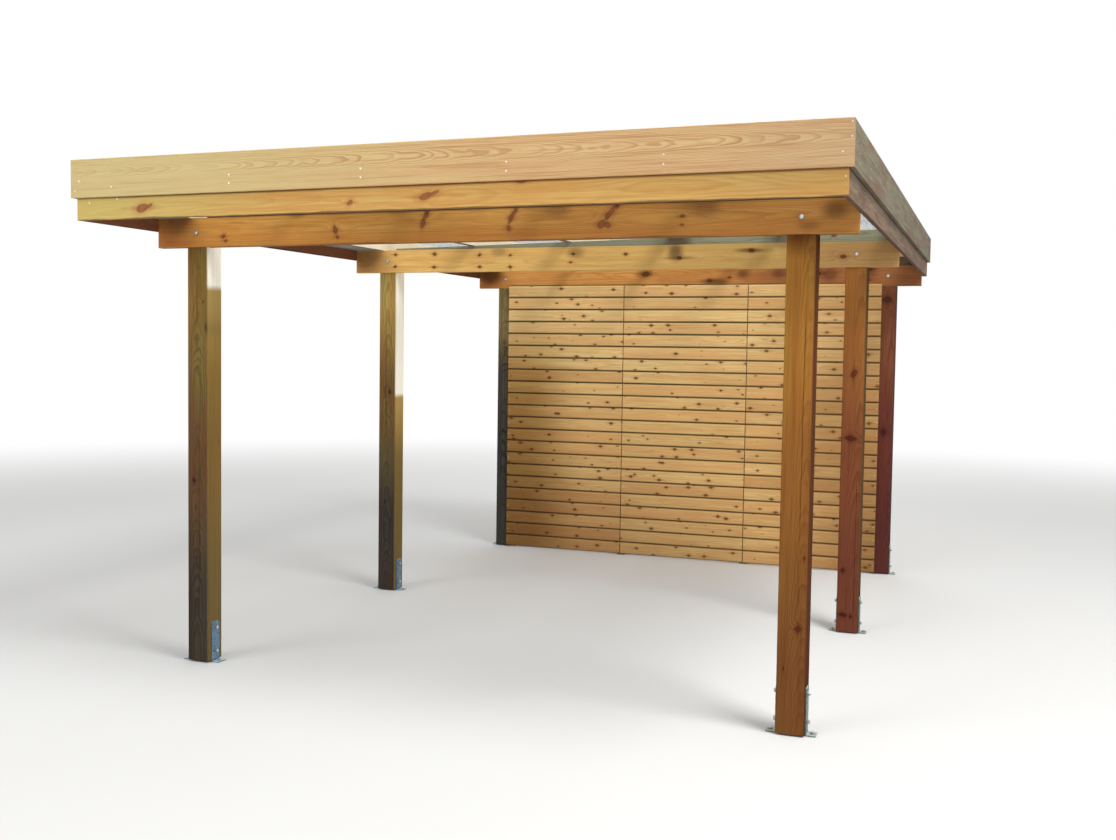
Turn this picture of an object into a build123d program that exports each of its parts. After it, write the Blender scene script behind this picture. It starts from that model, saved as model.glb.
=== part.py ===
"""Timber carport: six posts, three bolted beams, purlins, a profiled roof, a hidden gutter and a boarded wall.

Millimetres. X runs to the right, Y from the front to the back and Z up. The origin lies on the ground at the
centre of the roof's outline, which is also the centre of the whole part's outline.
"""
from build123d import *
from math import atan, cos, degrees, hypot
import os

# Overall
roof_width = 3520
roof_length = 5000
clear_height = 2100          # ground to the underside of the beams
fascia_rise = 215            # top of the fascia above the beams
side_overhang = 210          # outer face of the side fascia beyond the posts
front_overhang = 590         # outer face of the front fascia ahead of the front posts
rear_overhang = 190          # outer face of the rear fascia behind the rear posts

# Posts
post_size = 120
post_chamfer = 4
ground_gap = 8               # air between the paving and the end grain

# Beams
beam_height = 145
beam_thickness = 45
beam_chamfer = 3
beam_proud = 8               # front and middle beams stand out from the posts
rear_beam_proud = 0          # the rear beam is flush, because the wall boards lap over it

# Post brackets
bracket_width = 65
bracket_height = 205
bracket_foot = 45
bracket_gauge = 5
bracket_crown = 14           # corner radius at the top of the upright
anchor_hole = 11
anchor_from_post = 30        # hole centre from the post's face

# Roof timbers
purlin_count = 6
purlin_width = 45
purlin_height = 80
gutter_bay = 160             # from the left fascia to the first purlin
firring_thickness = 40
firring_low = 10             # height at the thin left end
firring_high = 68            # height at the thick right end

# Fascia
fascia_thickness = 20
upper_board = 175
lower_board = 145
board_lap = 43               # lower board runs up behind the upper one
board_arris = 2              # small chamfer along the boards' edges

# Roof sheets
sheet_gauge = 2
rib_pitch = 70
rib_height = 18
rib_top = 22
rib_foot = 34
sheet_count = 5
sheet_end_gap = 5            # least gap to the backs of the upper fascia boards
sheet_nest = 0.3             # clearance where a rib nests over its neighbour
sheet_setback = 40           # left edge of the sheets from the fascia's inner face
sheet_side_gap = 10          # right edge of the sheets from the fascia's inner face

# Gutter
gutter_gauge = 2.5
gutter_height = 62
gutter_clearance = 4         # to the fascia, the first purlin and the end boards

# Back wall
wall_thickness = 21
wall_bottom = 10
wall_beam_lap = 22           # boards run up over the face of the rear beam
wall_post_lap = 23           # boards run out over the inner edge of the posts
wall_panels = 3
panel_joint = 2              # open joint between panels
stud_width = 60
stud_depth = 80

# Derived planes
front = -roof_length / 2
back = roof_length / 2
beam_top = clear_height + beam_height
post_outer = roof_width / 2 - side_overhang
post_x = post_outer - post_size / 2
inner_x = roof_width / 2 - 2 * fascia_thickness
inner_front = front + 2 * fascia_thickness
inner_back = back - 2 * fascia_thickness
front_post_y = front + front_overhang
rear_post_y = back - rear_overhang - post_size
post_rows = {"front": front_post_y, "middle": (front_post_y + rear_post_y) / 2, "rear": rear_post_y}
beam_prouds = {"front": beam_proud, "middle": beam_proud, "rear": rear_beam_proud}
first_purlin = -inner_x + gutter_bay + purlin_width / 2
last_purlin = inner_x - purlin_width / 2
purlin_pitch = (last_purlin - first_purlin) / (purlin_count - 1)
firring_start = -post_outer + post_size
roof_fall = (firring_high - firring_low) / (inner_x - firring_start)
fascia_top = beam_top + fascia_rise
upper_bottom = fascia_top - upper_board
lower_top = upper_bottom + board_lap
lower_bottom = lower_top - lower_board

os.makedirs("parts", exist_ok=True)


def save(name, *solids):
    """Writes one node from one or more separate solids."""
    shape = solids[0] if len(solids) == 1 else Compound(children=list(solids))
    shape.label = name
    export_step(shape, f"parts/{name}.step")


def block(x0, x1, y0, y1, z0, z1):
    """A squared timber between two corners."""
    return Pos(x0, y0, z0) * Box(x1 - x0, y1 - y0, z1 - z0, align=(Align.MIN, Align.MIN, Align.MIN))


def planed_board(x0, x1, y0, y1, z0, z1):
    """A board with an arris taken off its four long edges."""
    along = Axis.X if x1 - x0 > y1 - y0 else Axis.Y
    return chamfer(block(x0, x1, y0, y1, z0, z1).edges().filter_by(along), board_arris)


def fall_line(x):
    """Height of the firring's top at x, and of the purlins' undersides on it."""
    return beam_top + firring_low + (x - firring_start) * roof_fall


def roof_line(x):
    """Height of the purlins' tops at x, on which the sheets lie."""
    return fall_line(x) + purlin_height


def cross_section(points, y0, y1):
    """A timber of constant section in the XZ plane, run from y0 to y1."""
    outline = Plane.XZ * make_face(Polyline(*points, close=True))
    return Pos(0, y1, 0) * extrude(outline, y1 - y0)


# Posts, housed for the beams
for row, y in post_rows.items():
    housing = beam_thickness - beam_prouds[row]
    for side, sign in (("left", -1), ("right", 1)):
        x = sign * post_x
        half = post_size / 2
        post = block(x - half, x + half, y, y + post_size, ground_gap, beam_top)
        post = chamfer(post.edges().filter_by(Axis.Z), post_chamfer)
        post -= block(x - half - 1, x + half + 1, y - 1, y + housing, clear_height, beam_top + 1)
        save(f"post_{row}_{side}", post)

# Beams
for row, y in post_rows.items():
    beam = block(-inner_x, inner_x, y - beam_prouds[row], y - beam_prouds[row] + beam_thickness,
                 clear_height, beam_top)
    beam = chamfer(beam.edges().filter_by(Axis.X).sort_by(Axis.Z)[:2], beam_chamfer)
    save(f"beam_{row}", beam)

# Firring strips, tapered from left to right along the back of each beam
for row, y in post_rows.items():
    y1 = y - beam_prouds[row] + beam_thickness
    strip = cross_section([(firring_start, beam_top), (inner_x, beam_top), (inner_x, fall_line(inner_x)),
                           (firring_start, fall_line(firring_start))], y1 - firring_thickness, y1)
    save(f"firring_{row}", strip)

# Purlins: cut to the fall, the first one straight on the beams
for n in range(purlin_count):
    x = first_purlin + n * purlin_pitch
    x0, x1 = x - purlin_width / 2, x + purlin_width / 2
    on_beams = x1 <= firring_start
    low = (beam_top, beam_top) if on_beams else (fall_line(x0), fall_line(x1))
    purlin = cross_section([(x0, low[0]), (x1, low[1]), (x1, roof_line(x1)), (x0, roof_line(x0))],
                           inner_front, inner_back)
    save(f"purlin_{n + 1}", purlin)

# Angle brackets, one on each side of a post
for row, y in post_rows.items():
    y_mid = y + post_size / 2
    for side, sign in (("left", -1), ("right", 1)):
        pair = []
        for hand in (-1, 1):
            face = sign * post_x + hand * post_size / 2
            upright = block(0, bracket_gauge, -bracket_width / 2, bracket_width / 2, 0, bracket_height)
            crown = upright.edges().filter_by(Axis.X).sort_by(Axis.Z)[-2:]
            upright = fillet(crown, bracket_crown)
            foot = block(0, bracket_foot, -bracket_width / 2, bracket_width / 2, 0, bracket_gauge)
            bracket = upright + foot
            bracket -= Pos(anchor_from_post, 0, 0) * Cylinder(anchor_hole / 2, 4 * bracket_gauge)
            if hand < 0:
                bracket = mirror(bracket, Plane.YZ)
            pair.append(Pos(face, y_mid, 0) * bracket)
        save(f"bracket_{row}_{side}", *pair)

# Fascia: the front and back boards run over the ends of the side boards
half_w = roof_width / 2
t = fascia_thickness
for tier, inset, z0, z1 in (("upper", 0, upper_bottom, fascia_top), ("lower", t, lower_bottom, lower_top)):
    x0, x1 = -half_w + inset, half_w - inset
    y0, y1 = front + inset, back - inset
    save(f"fascia_{tier}_front", planed_board(x0, x1, y0, y0 + t, z0, z1))
    save(f"fascia_{tier}_rear", planed_board(x0, x1, y1 - t, y1, z0, z1))
    save(f"fascia_{tier}_left", planed_board(x0, x0 + t, y0 + t, y1 - t, z0, z1))
    save(f"fascia_{tier}_right", planed_board(x1 - t, x1, y0 + t, y1 - t, z0, z1))

# Roof sheets: ribs run down the fall, each sheet's last rib nests over its neighbour's first
sheet_x0 = -inner_x + sheet_setback
sheet_x1 = inner_x - sheet_side_gap
sheets_room = roof_length - 2 * (fascia_thickness + sheet_end_gap)
pitches_per_sheet = int(sheets_room // (sheet_count * rib_pitch))
sheet_cover = pitches_per_sheet * rib_pitch
sheets_y0 = (inner_front + inner_back) / 2 - sheet_count * sheet_cover / 2
web_lean = (rib_foot - rib_top) / 2 / rib_height
web_offset = hypot(1, web_lean)


def rib_half(offset, z):
    """Half width of a rib's web at height z, for a skin laid off outwards by offset."""
    return rib_foot / 2 + web_offset * offset - z * web_lean


def rib_skin(y, offset, left_z, right_z):
    """Four corners of one rib's skin, from its left foot to its right foot."""
    crest = rib_height + offset
    return [(y - rib_half(offset, left_z), left_z), (y - rib_half(offset, crest), crest),
            (y + rib_half(offset, crest), crest), (y + rib_half(offset, right_z), right_z)]


def sheet_outline(laps):
    """Closed outline of a sheet across its ribs; with laps, its last rib is formed to cover a rib below."""
    lift = sheet_gauge + sheet_nest
    under, over = [], []
    for k in range(pitches_per_sheet + 1):
        y = k * rib_pitch
        last = k == pitches_per_sheet
        if last and laps:
            under += rib_skin(y, lift, 0, lift)
            over += rib_skin(y, lift + sheet_gauge, sheet_gauge, lift)
        else:
            under += rib_skin(y, 0, 0, 0)
            over += rib_skin(y, sheet_gauge, 0 if k == 0 else sheet_gauge, 0 if last else sheet_gauge)
    return under + over[::-1]


for n in range(sheet_count):
    outline = Plane.YZ * make_face(Polyline(*sheet_outline(laps=n < sheet_count - 1), close=True))
    sheet = extrude(outline, (sheet_x1 - sheet_x0) / cos(atan(roof_fall)))
    fall = Rot(0, -degrees(atan(roof_fall)), 0)
    save(f"roof_sheet_{n + 1}", Pos(sheet_x0, sheets_y0 + n * sheet_cover, roof_line(sheet_x0)) * fall * sheet)

# Gutter behind the left fascia, lying on the beams
gutter_x0 = -inner_x + gutter_clearance
gutter_x1 = -inner_x + gutter_bay - gutter_clearance
gutter_y0 = inner_front + gutter_clearance
gutter_y1 = inner_back - gutter_clearance
g = gutter_gauge
gutter = block(gutter_x0, gutter_x1, gutter_y0, gutter_y1, beam_top, beam_top + gutter_height)
gutter -= block(gutter_x0 + g, gutter_x1 - g, gutter_y0 + g, gutter_y1 - g, beam_top + g,
                beam_top + gutter_height + 1)
save("gutter", gutter)

# Back wall: panels on the front of the rear posts, and studs behind their joints
wall_half = post_outer - post_size + wall_post_lap
wall_front = rear_post_y - wall_thickness
wall_top = clear_height + wall_beam_lap
panel_pitch = (2 * wall_half + panel_joint) / wall_panels
for n, name in enumerate(("left", "middle", "right")):
    x0 = -wall_half + n * panel_pitch
    x1 = x0 + panel_pitch - panel_joint
    save(f"wall_panel_{name}", block(x0, x1, wall_front, rear_post_y, wall_bottom, wall_top))
for n, name in enumerate(("left", "right")):
    x = -wall_half + (n + 1) * panel_pitch - panel_joint / 2
    stud = block(x - stud_width / 2, x + stud_width / 2, rear_post_y, rear_post_y + stud_depth, 0, clear_height)
    save(f"wall_stud_{name}", stud)
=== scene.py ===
"""Looks of a flat-roofed timber carport: timber, metal and sheet finishes, the boarded
back wall, and the bolts and screws that hold the frame together."""

import logging
import math
import random
from dataclasses import dataclass, field
from enum import Enum
from typing import Optional, Sequence, Union

import bpy
from mathutils import Matrix, Vector


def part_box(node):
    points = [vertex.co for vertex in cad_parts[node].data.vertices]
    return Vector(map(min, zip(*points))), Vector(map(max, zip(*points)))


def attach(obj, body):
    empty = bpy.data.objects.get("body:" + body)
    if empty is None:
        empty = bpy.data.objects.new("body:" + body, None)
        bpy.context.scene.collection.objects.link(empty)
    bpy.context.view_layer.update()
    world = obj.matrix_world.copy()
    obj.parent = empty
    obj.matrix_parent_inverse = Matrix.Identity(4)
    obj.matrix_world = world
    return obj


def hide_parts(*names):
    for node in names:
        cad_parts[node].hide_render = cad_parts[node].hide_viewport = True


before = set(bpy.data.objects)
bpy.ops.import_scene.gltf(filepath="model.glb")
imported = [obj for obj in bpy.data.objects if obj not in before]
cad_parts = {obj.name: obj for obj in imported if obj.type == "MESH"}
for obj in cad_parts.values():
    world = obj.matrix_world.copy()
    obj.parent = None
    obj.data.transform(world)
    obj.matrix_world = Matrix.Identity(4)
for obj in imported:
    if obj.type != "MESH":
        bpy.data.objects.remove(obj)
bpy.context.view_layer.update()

log = logging.getLogger("carport")

Colour = tuple[float, float, float]
Point = tuple[float, float, float]
Sizes = tuple[float, float, float, float]
Entry = Union["Wire", float, int, bool, str, Sequence[float], bpy.types.Material, None]

UP: Point = (0.0, 0.0, 1.0)
DOWN: Point = (0.0, 0.0, -1.0)
RIGHT: Point = (1.0, 0.0, 0.0)
FRONTWARD: Point = (0.0, -1.0, 0.0)
BACKWARD: Point = (0.0, 1.0, 0.0)
PLAIN: Colour = (1.0, 1.0, 1.0)
WHITE = (1.0, 1.0, 1.0, 1.0)


def paint(red: int, green: int, blue: int) -> Colour:
    """A colour as it is read off a screen, 0 to 255 a channel, made linear.

    Args:
        red: red channel.
        green: green channel.
        blue: blue channel.

    Returns:
        The linear colour that a shader socket takes.
    """
    shares = (red / 255, green / 255, blue / 255)
    return tuple(s / 12.92 if s <= 0.04045 else ((s + 0.055) / 1.055) ** 2.4 for s in shares)


class Wire:
    """An output socket of a node tree. Arithmetic on it adds Math nodes."""

    def __init__(self, graph: "Graph", socket: bpy.types.NodeSocket) -> None:
        """Keeps the socket and the graph it belongs to."""
        self.graph = graph
        self.socket = socket

    def _maths(self, operation: str, first: Entry, second: Entry = None) -> "Wire":
        """Adds one Math node."""
        return self.graph.node("ShaderNodeMath", {"operation": operation}, {0: first, 1: second})

    def __add__(self, other: Entry) -> "Wire":
        """self + other"""
        return self._maths("ADD", self, other)

    __radd__ = __add__

    def __sub__(self, other: Entry) -> "Wire":
        """self - other"""
        return self._maths("SUBTRACT", self, other)

    def __rsub__(self, other: Entry) -> "Wire":
        """other - self"""
        return self._maths("SUBTRACT", other, self)

    def __mul__(self, other: Entry) -> "Wire":
        """self * other"""
        return self._maths("MULTIPLY", self, other)

    __rmul__ = __mul__

    def __truediv__(self, other: Entry) -> "Wire":
        """self / other"""
        return self._maths("DIVIDE", self, other)

    def __rtruediv__(self, other: Entry) -> "Wire":
        """other / self"""
        return self._maths("DIVIDE", other, self)

    def __abs__(self) -> "Wire":
        """Its size without its sign."""
        return self._maths("ABSOLUTE", self)

    def whole(self) -> "Wire":
        """The whole number below."""
        return self._maths("FLOOR", self)

    def rest(self) -> "Wire":
        """What is left above the whole number below."""
        return self._maths("FRACT", self)

    def exp(self) -> "Wire":
        """e to this power."""
        return self._maths("EXPONENT", self)

    def lesser(self, other: Entry) -> "Wire":
        """The smaller of the two."""
        return self._maths("MINIMUM", self, other)

    def greater(self, other: Entry) -> "Wire":
        """The larger of the two."""
        return self._maths("MAXIMUM", self, other)

    def spread(self, size: float) -> "Wire":
        """A noise moved from around 0.5 to around 0, and made that wide."""
        return (self - 0.5) * size

    def rise(self, low: Entry, high: Entry) -> "Wire":
        """A soft step.

        Args:
            low: the value up to which the step is 0.
            high: the value from which the step is 1.

        Returns:
            The step, between 0 and 1.
        """
        return self.graph.node("ShaderNodeMapRange", {"interpolation_type": "SMOOTHSTEP"},
                               {0: self, 1: low, 2: high, 3: 0.0, 4: 1.0})

    def output(self, name: str) -> "Wire":
        """Another output of the same node."""
        return Wire(self.graph, self.socket.node.outputs[name])


class Graph:
    """A node tree, and the one way in which nodes are added to it."""

    def __init__(self, tree: bpy.types.NodeTree) -> None:
        """Takes a tree that may already hold nodes."""
        self.tree = tree

    def node(self, kind: str, settings: Optional[dict] = None, entries: Optional[dict] = None,
             out: Union[int, str] = 0) -> Wire:
        """Adds a node, sets it up, then fills its sockets.

        Args:
            kind: Blender's type name of the node.
            settings: the node's own settings, by name.
            entries: a value or a wire for each input, by its number or name.
            out: number or name of the output that is handed back.

        Returns:
            The wire from that output.
        """
        made = self.tree.nodes.new(kind)
        for name, setting in (settings or {}).items():
            setattr(made, name, setting)
        for key, entry in (entries or {}).items():
            if isinstance(entry, Wire):
                self.tree.links.new(entry.socket, made.inputs[key])
            elif isinstance(entry, (list, tuple)) and entry and isinstance(entry[0], Wire):
                for wire in entry:
                    self.tree.links.new(wire.socket, made.inputs[key])
            elif entry is not None:
                made.inputs[key].default_value = entry
        return Wire(self, made.outputs[out])

    def close(self, kind: str, entry: str, wire: Wire) -> None:
        """Adds the node that ends the tree and links a wire to its input."""
        end = self.tree.nodes.new(kind)
        self.tree.links.new(wire.socket, end.inputs[entry])

    def vector(self, x: Entry, y: Entry, z: Entry) -> Wire:
        """Three numbers as one vector."""
        return self.node("ShaderNodeCombineXYZ", {}, {0: x, 1: y, 2: z})

    def vector_maths(self, operation: str, first: Entry, second: Entry = None, out: str = "Vector") -> Wire:
        """Adds one Vector Math node."""
        return self.node("ShaderNodeVectorMath", {"operation": operation}, {0: first, 1: second}, out)

    def length(self, vector: Wire) -> Wire:
        """Length of a vector."""
        return self.vector_maths("LENGTH", vector, out="Value")


class Dye(Graph):
    """The node tree of one material."""

    def __init__(self, name: str) -> None:
        """Starts an empty material.

        Args:
            name: name of the material.
        """
        self.material = bpy.data.materials.new(name)
        self.material.use_nodes = True
        super().__init__(self.material.node_tree)
        self.tree.nodes.clear()

    def mix(self, share: Entry, first: Entry, second: Entry) -> Wire:
        """Mixes two colours.

        Args:
            share: how much of the second colour, from 0 to 1.
            first: a linear colour or a wire that carries one.
            second: a linear colour or a wire that carries one.

        Returns:
            The mixed colour.
        """
        full = [tuple(c) + (1.0,) if isinstance(c, tuple) else c for c in (first, second)]
        return self.node("ShaderNodeMix", {"data_type": "RGBA"}, {0: share, 6: full[0], 7: full[1]}, 2)

    def tint(self, colour: Wire, tone: Wire) -> Wire:
        """Multiplies a colour by another, which keeps its pattern."""
        return self.node("ShaderNodeMix", {"data_type": "RGBA", "blend_type": "MULTIPLY"},
                         {0: 1.0, 6: colour, 7: tone}, 2)

    def noise(self, place: Wire, scale: float, detail: float, rough: float) -> Wire:
        """Smooth noise around 0.5 at a place."""
        return self.node("ShaderNodeTexNoise", {"noise_dimensions": "3D"},
                         {"Vector": place, "Scale": scale, "Detail": detail, "Roughness": rough})

    def wander(self, along: Wire, seed: float, scale: float) -> tuple[Wire, Wire, Wire]:
        """Three slow, separate noises along one line.

        Args:
            along: distance along the line in metres.
            seed: start of the noises.
            scale: how often they turn per metre.

        Returns:
            Three wires, each around 0.5.
        """
        colour = self.node("ShaderNodeTexNoise", {"noise_dimensions": "1D"},
                           {"W": along + seed, "Scale": scale, "Detail": 2.0}, "Color")
        split = self.node("ShaderNodeSeparateColor", {}, {0: colour})
        return split, split.output("Green"), split.output("Blue")

    def point(self) -> Wire:
        """The point on the object in metres."""
        return self.node("ShaderNodeTexCoord", {}, {}, "Object")

    def place(self) -> tuple[Wire, Wire, Wire]:
        """The same point as three wires."""
        split = self.node("ShaderNodeSeparateXYZ", {}, {0: self.point()})
        return split, split.output("Y"), split.output("Z")

    def attribute(self, name: str) -> Wire:
        """A number that the mesh carries under that name."""
        return self.node("ShaderNodeAttribute", {"attribute_name": name}, {}, "Fac")

    def facing(self, way: Point) -> Wire:
        """How far the surface looks a given way: 1 straight that way, -1 the other way."""
        normal = self.node("ShaderNodeNewGeometry", {}, {}, "True Normal")
        return self.vector_maths("DOT_PRODUCT", normal, way, "Value")

    def finish(self, constants: dict, wires: dict, relief: Wire, depth: float,
               strength: float) -> bpy.types.Material:
        """Ends the tree in a Principled shader.

        Args:
            constants: sockets of the shader that are the same all over.
            wires: sockets that vary over the surface.
            relief: height of the surface, which goes through a Bump node.
            depth: how deep the relief is, in metres.
            strength: strength of the relief.

        Returns:
            The material.
        """
        bump = self.node("ShaderNodeBump", {}, {"Strength": strength, "Distance": depth, "Height": relief})
        shader = self.node("ShaderNodeBsdfPrincipled", {}, {**constants, **wires, "Normal": bump})
        self.close("ShaderNodeOutputMaterial", "Surface", shader)
        return self.material


class Run(Enum):
    """Axes of a timber: its length, the way across its show face, and its depth."""

    ACROSS_FRONT = (0, 2, 1)
    FRONT_TO_BACK = (1, 2, 0)
    UPRIGHT = (2, 0, 1)


@dataclass(frozen=True)
class Oval:
    """An oval place on a timber.

    Attributes:
        along: place on the timber's long axis, metres.
        across: place across the show face, metres.
        wide: half its size along the timber.
        tall: half its size across the timber.
    """

    along: float
    across: float
    wide: float
    tall: float


@dataclass(frozen=True)
class Knot(Oval):
    """A knot that goes through a timber.

    Attributes:
        tilt: turn of its long way, radians.
    """

    tilt: float = 0.0


@dataclass(frozen=True)
class StainAndShade(Oval):
    """A soft dark patch, used for stains and for painted shade.

    Attributes:
        share: how dark it is.
    """

    share: float


@dataclass(frozen=True)
class PaintedFace:
    """A face with painted light and shade: sunlight on some timbers, shade on others.

    Attributes:
        way: the way the face looks.
        low: share of the spring wood's plain colour laid on it as painted light, which grows towards the
            start.
        high: share of the painted colour beyond the place where it sets in.
        start: place from the timber's middle where it sets in.
        stop: place where it is complete.
        approach: stretch before the start on which the plain colour grows.
    """

    way: Point
    low: float
    high: float
    start: float = -9.0
    stop: float = -8.0
    approach: float = 0.42


@dataclass(frozen=True)
class Tones:
    """Painted light and shade that darken or lighten a timber from one end to the other.

    Attributes:
        places: places of the three tones on the timber's long axis, metres.
        low: what the colour is multiplied by at the first place.
        middle: the same at the second.
        high: the same at the third.
    """

    places: tuple[float, float, float]
    low: Colour
    middle: Colour
    high: Colour = PLAIN


@dataclass(frozen=True)
class Stick:
    """One timber as it was cut.

    Attributes:
        run: how it lies.
        low: lowest corner, metres.
        high: highest corner, metres.
        seed: start of everything random in its grain.
        heart: place of the tree's centre across and behind the middle of the show face.
        knots: the knots that are seen from the front.
        crack: place across the face, start and end along it of a drying crack.
        smudges: its stains and its patches of painted shade.
        weather_and_shade_span: stretch of the timber over which its aged colour grows, from and to:
            weathering, and on the front beam painted shade.
        damp: stretch over which painted shade darkens it towards one end, from and to.
        turned: a face on which light and shade are painted.
        tones: painted light and shade from end to end.
        taper: how fast the year rings run out of the face along the timber.
    """

    run: Run
    low: Point
    high: Point
    seed: float
    heart: tuple[float, float] = (0.0, 0.06)
    knots: tuple[Knot, ...] = ()
    crack: Optional[tuple[float, float, float]] = None
    smudges: tuple[StainAndShade, ...] = ()
    weather_and_shade_span: Optional[tuple[float, float]] = None
    damp: Optional[tuple[float, float]] = None
    turned: Optional[PaintedFace] = None
    tones: Optional[Tones] = None
    taper: float = 0.006


@dataclass(frozen=True)
class Timber:
    """Planed softwood, treated and left to weather.

    Attributes:
        pale: colour of the spring wood.
        late: colour of the summer wood, the dark lines of the grain.
        warm: colour of the resin-rich streaks.
        aged: colour that weather brings.
        ring: width of a year ring in metres.
        lines: how strongly the dark lines show.
        ageing: how much of the aged colour there is.
        knotty: share of the places for small knots that hold one.
        knot_size: half size of the small knots in metres.
        spacing: room for one small knot, along and across, in metres.
        swing: how far the tree's centre wanders along the timber, metres.
        wave: how far the year rings wave, metres.
        curl: size of the short waves in them, metres.
        flame: how far the heart sways in short waves, which draws flames, metres.
        mottle: strength of the blotches of the warm colour.
        rosy: how much of the warm colour gathers towards the lower edge.
        gloss: specular level of the surface.
        knot_dark: colour of a knot's rim, of stains and of painted shade.
        knot_red: colour of a knot's middle.
        end_shade: colour of the painted shade at the beams' left ends.
        knot_share: how far a knot covers the wood around it.
        knot_soft: how far that share falls in patches.
        turned: colour painted on one face, sunlight on some timbers and shade on others.
    """

    pale: Colour
    late: Colour
    warm: Colour
    aged: Colour
    ring: float = 0.0042
    lines: float = 0.62
    ageing: float = 0.2
    knotty: float = 0.25
    knot_size: float = 0.006
    spacing: tuple[float, float] = (0.34, 0.16)
    swing: float = 0.05
    wave: float = 0.017
    curl: float = 0.0015
    flame: float = 0.0
    mottle: float = 0.2
    rosy: float = 0.0
    gloss: float = 0.15
    knot_dark: Colour = paint(64, 28, 16)
    knot_red: Colour = paint(128, 62, 32)
    end_shade: Colour = paint(146, 78, 36)
    knot_share: float = 0.82
    knot_soft: float = 0.0
    turned: Colour = paint(236, 214, 166)


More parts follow.
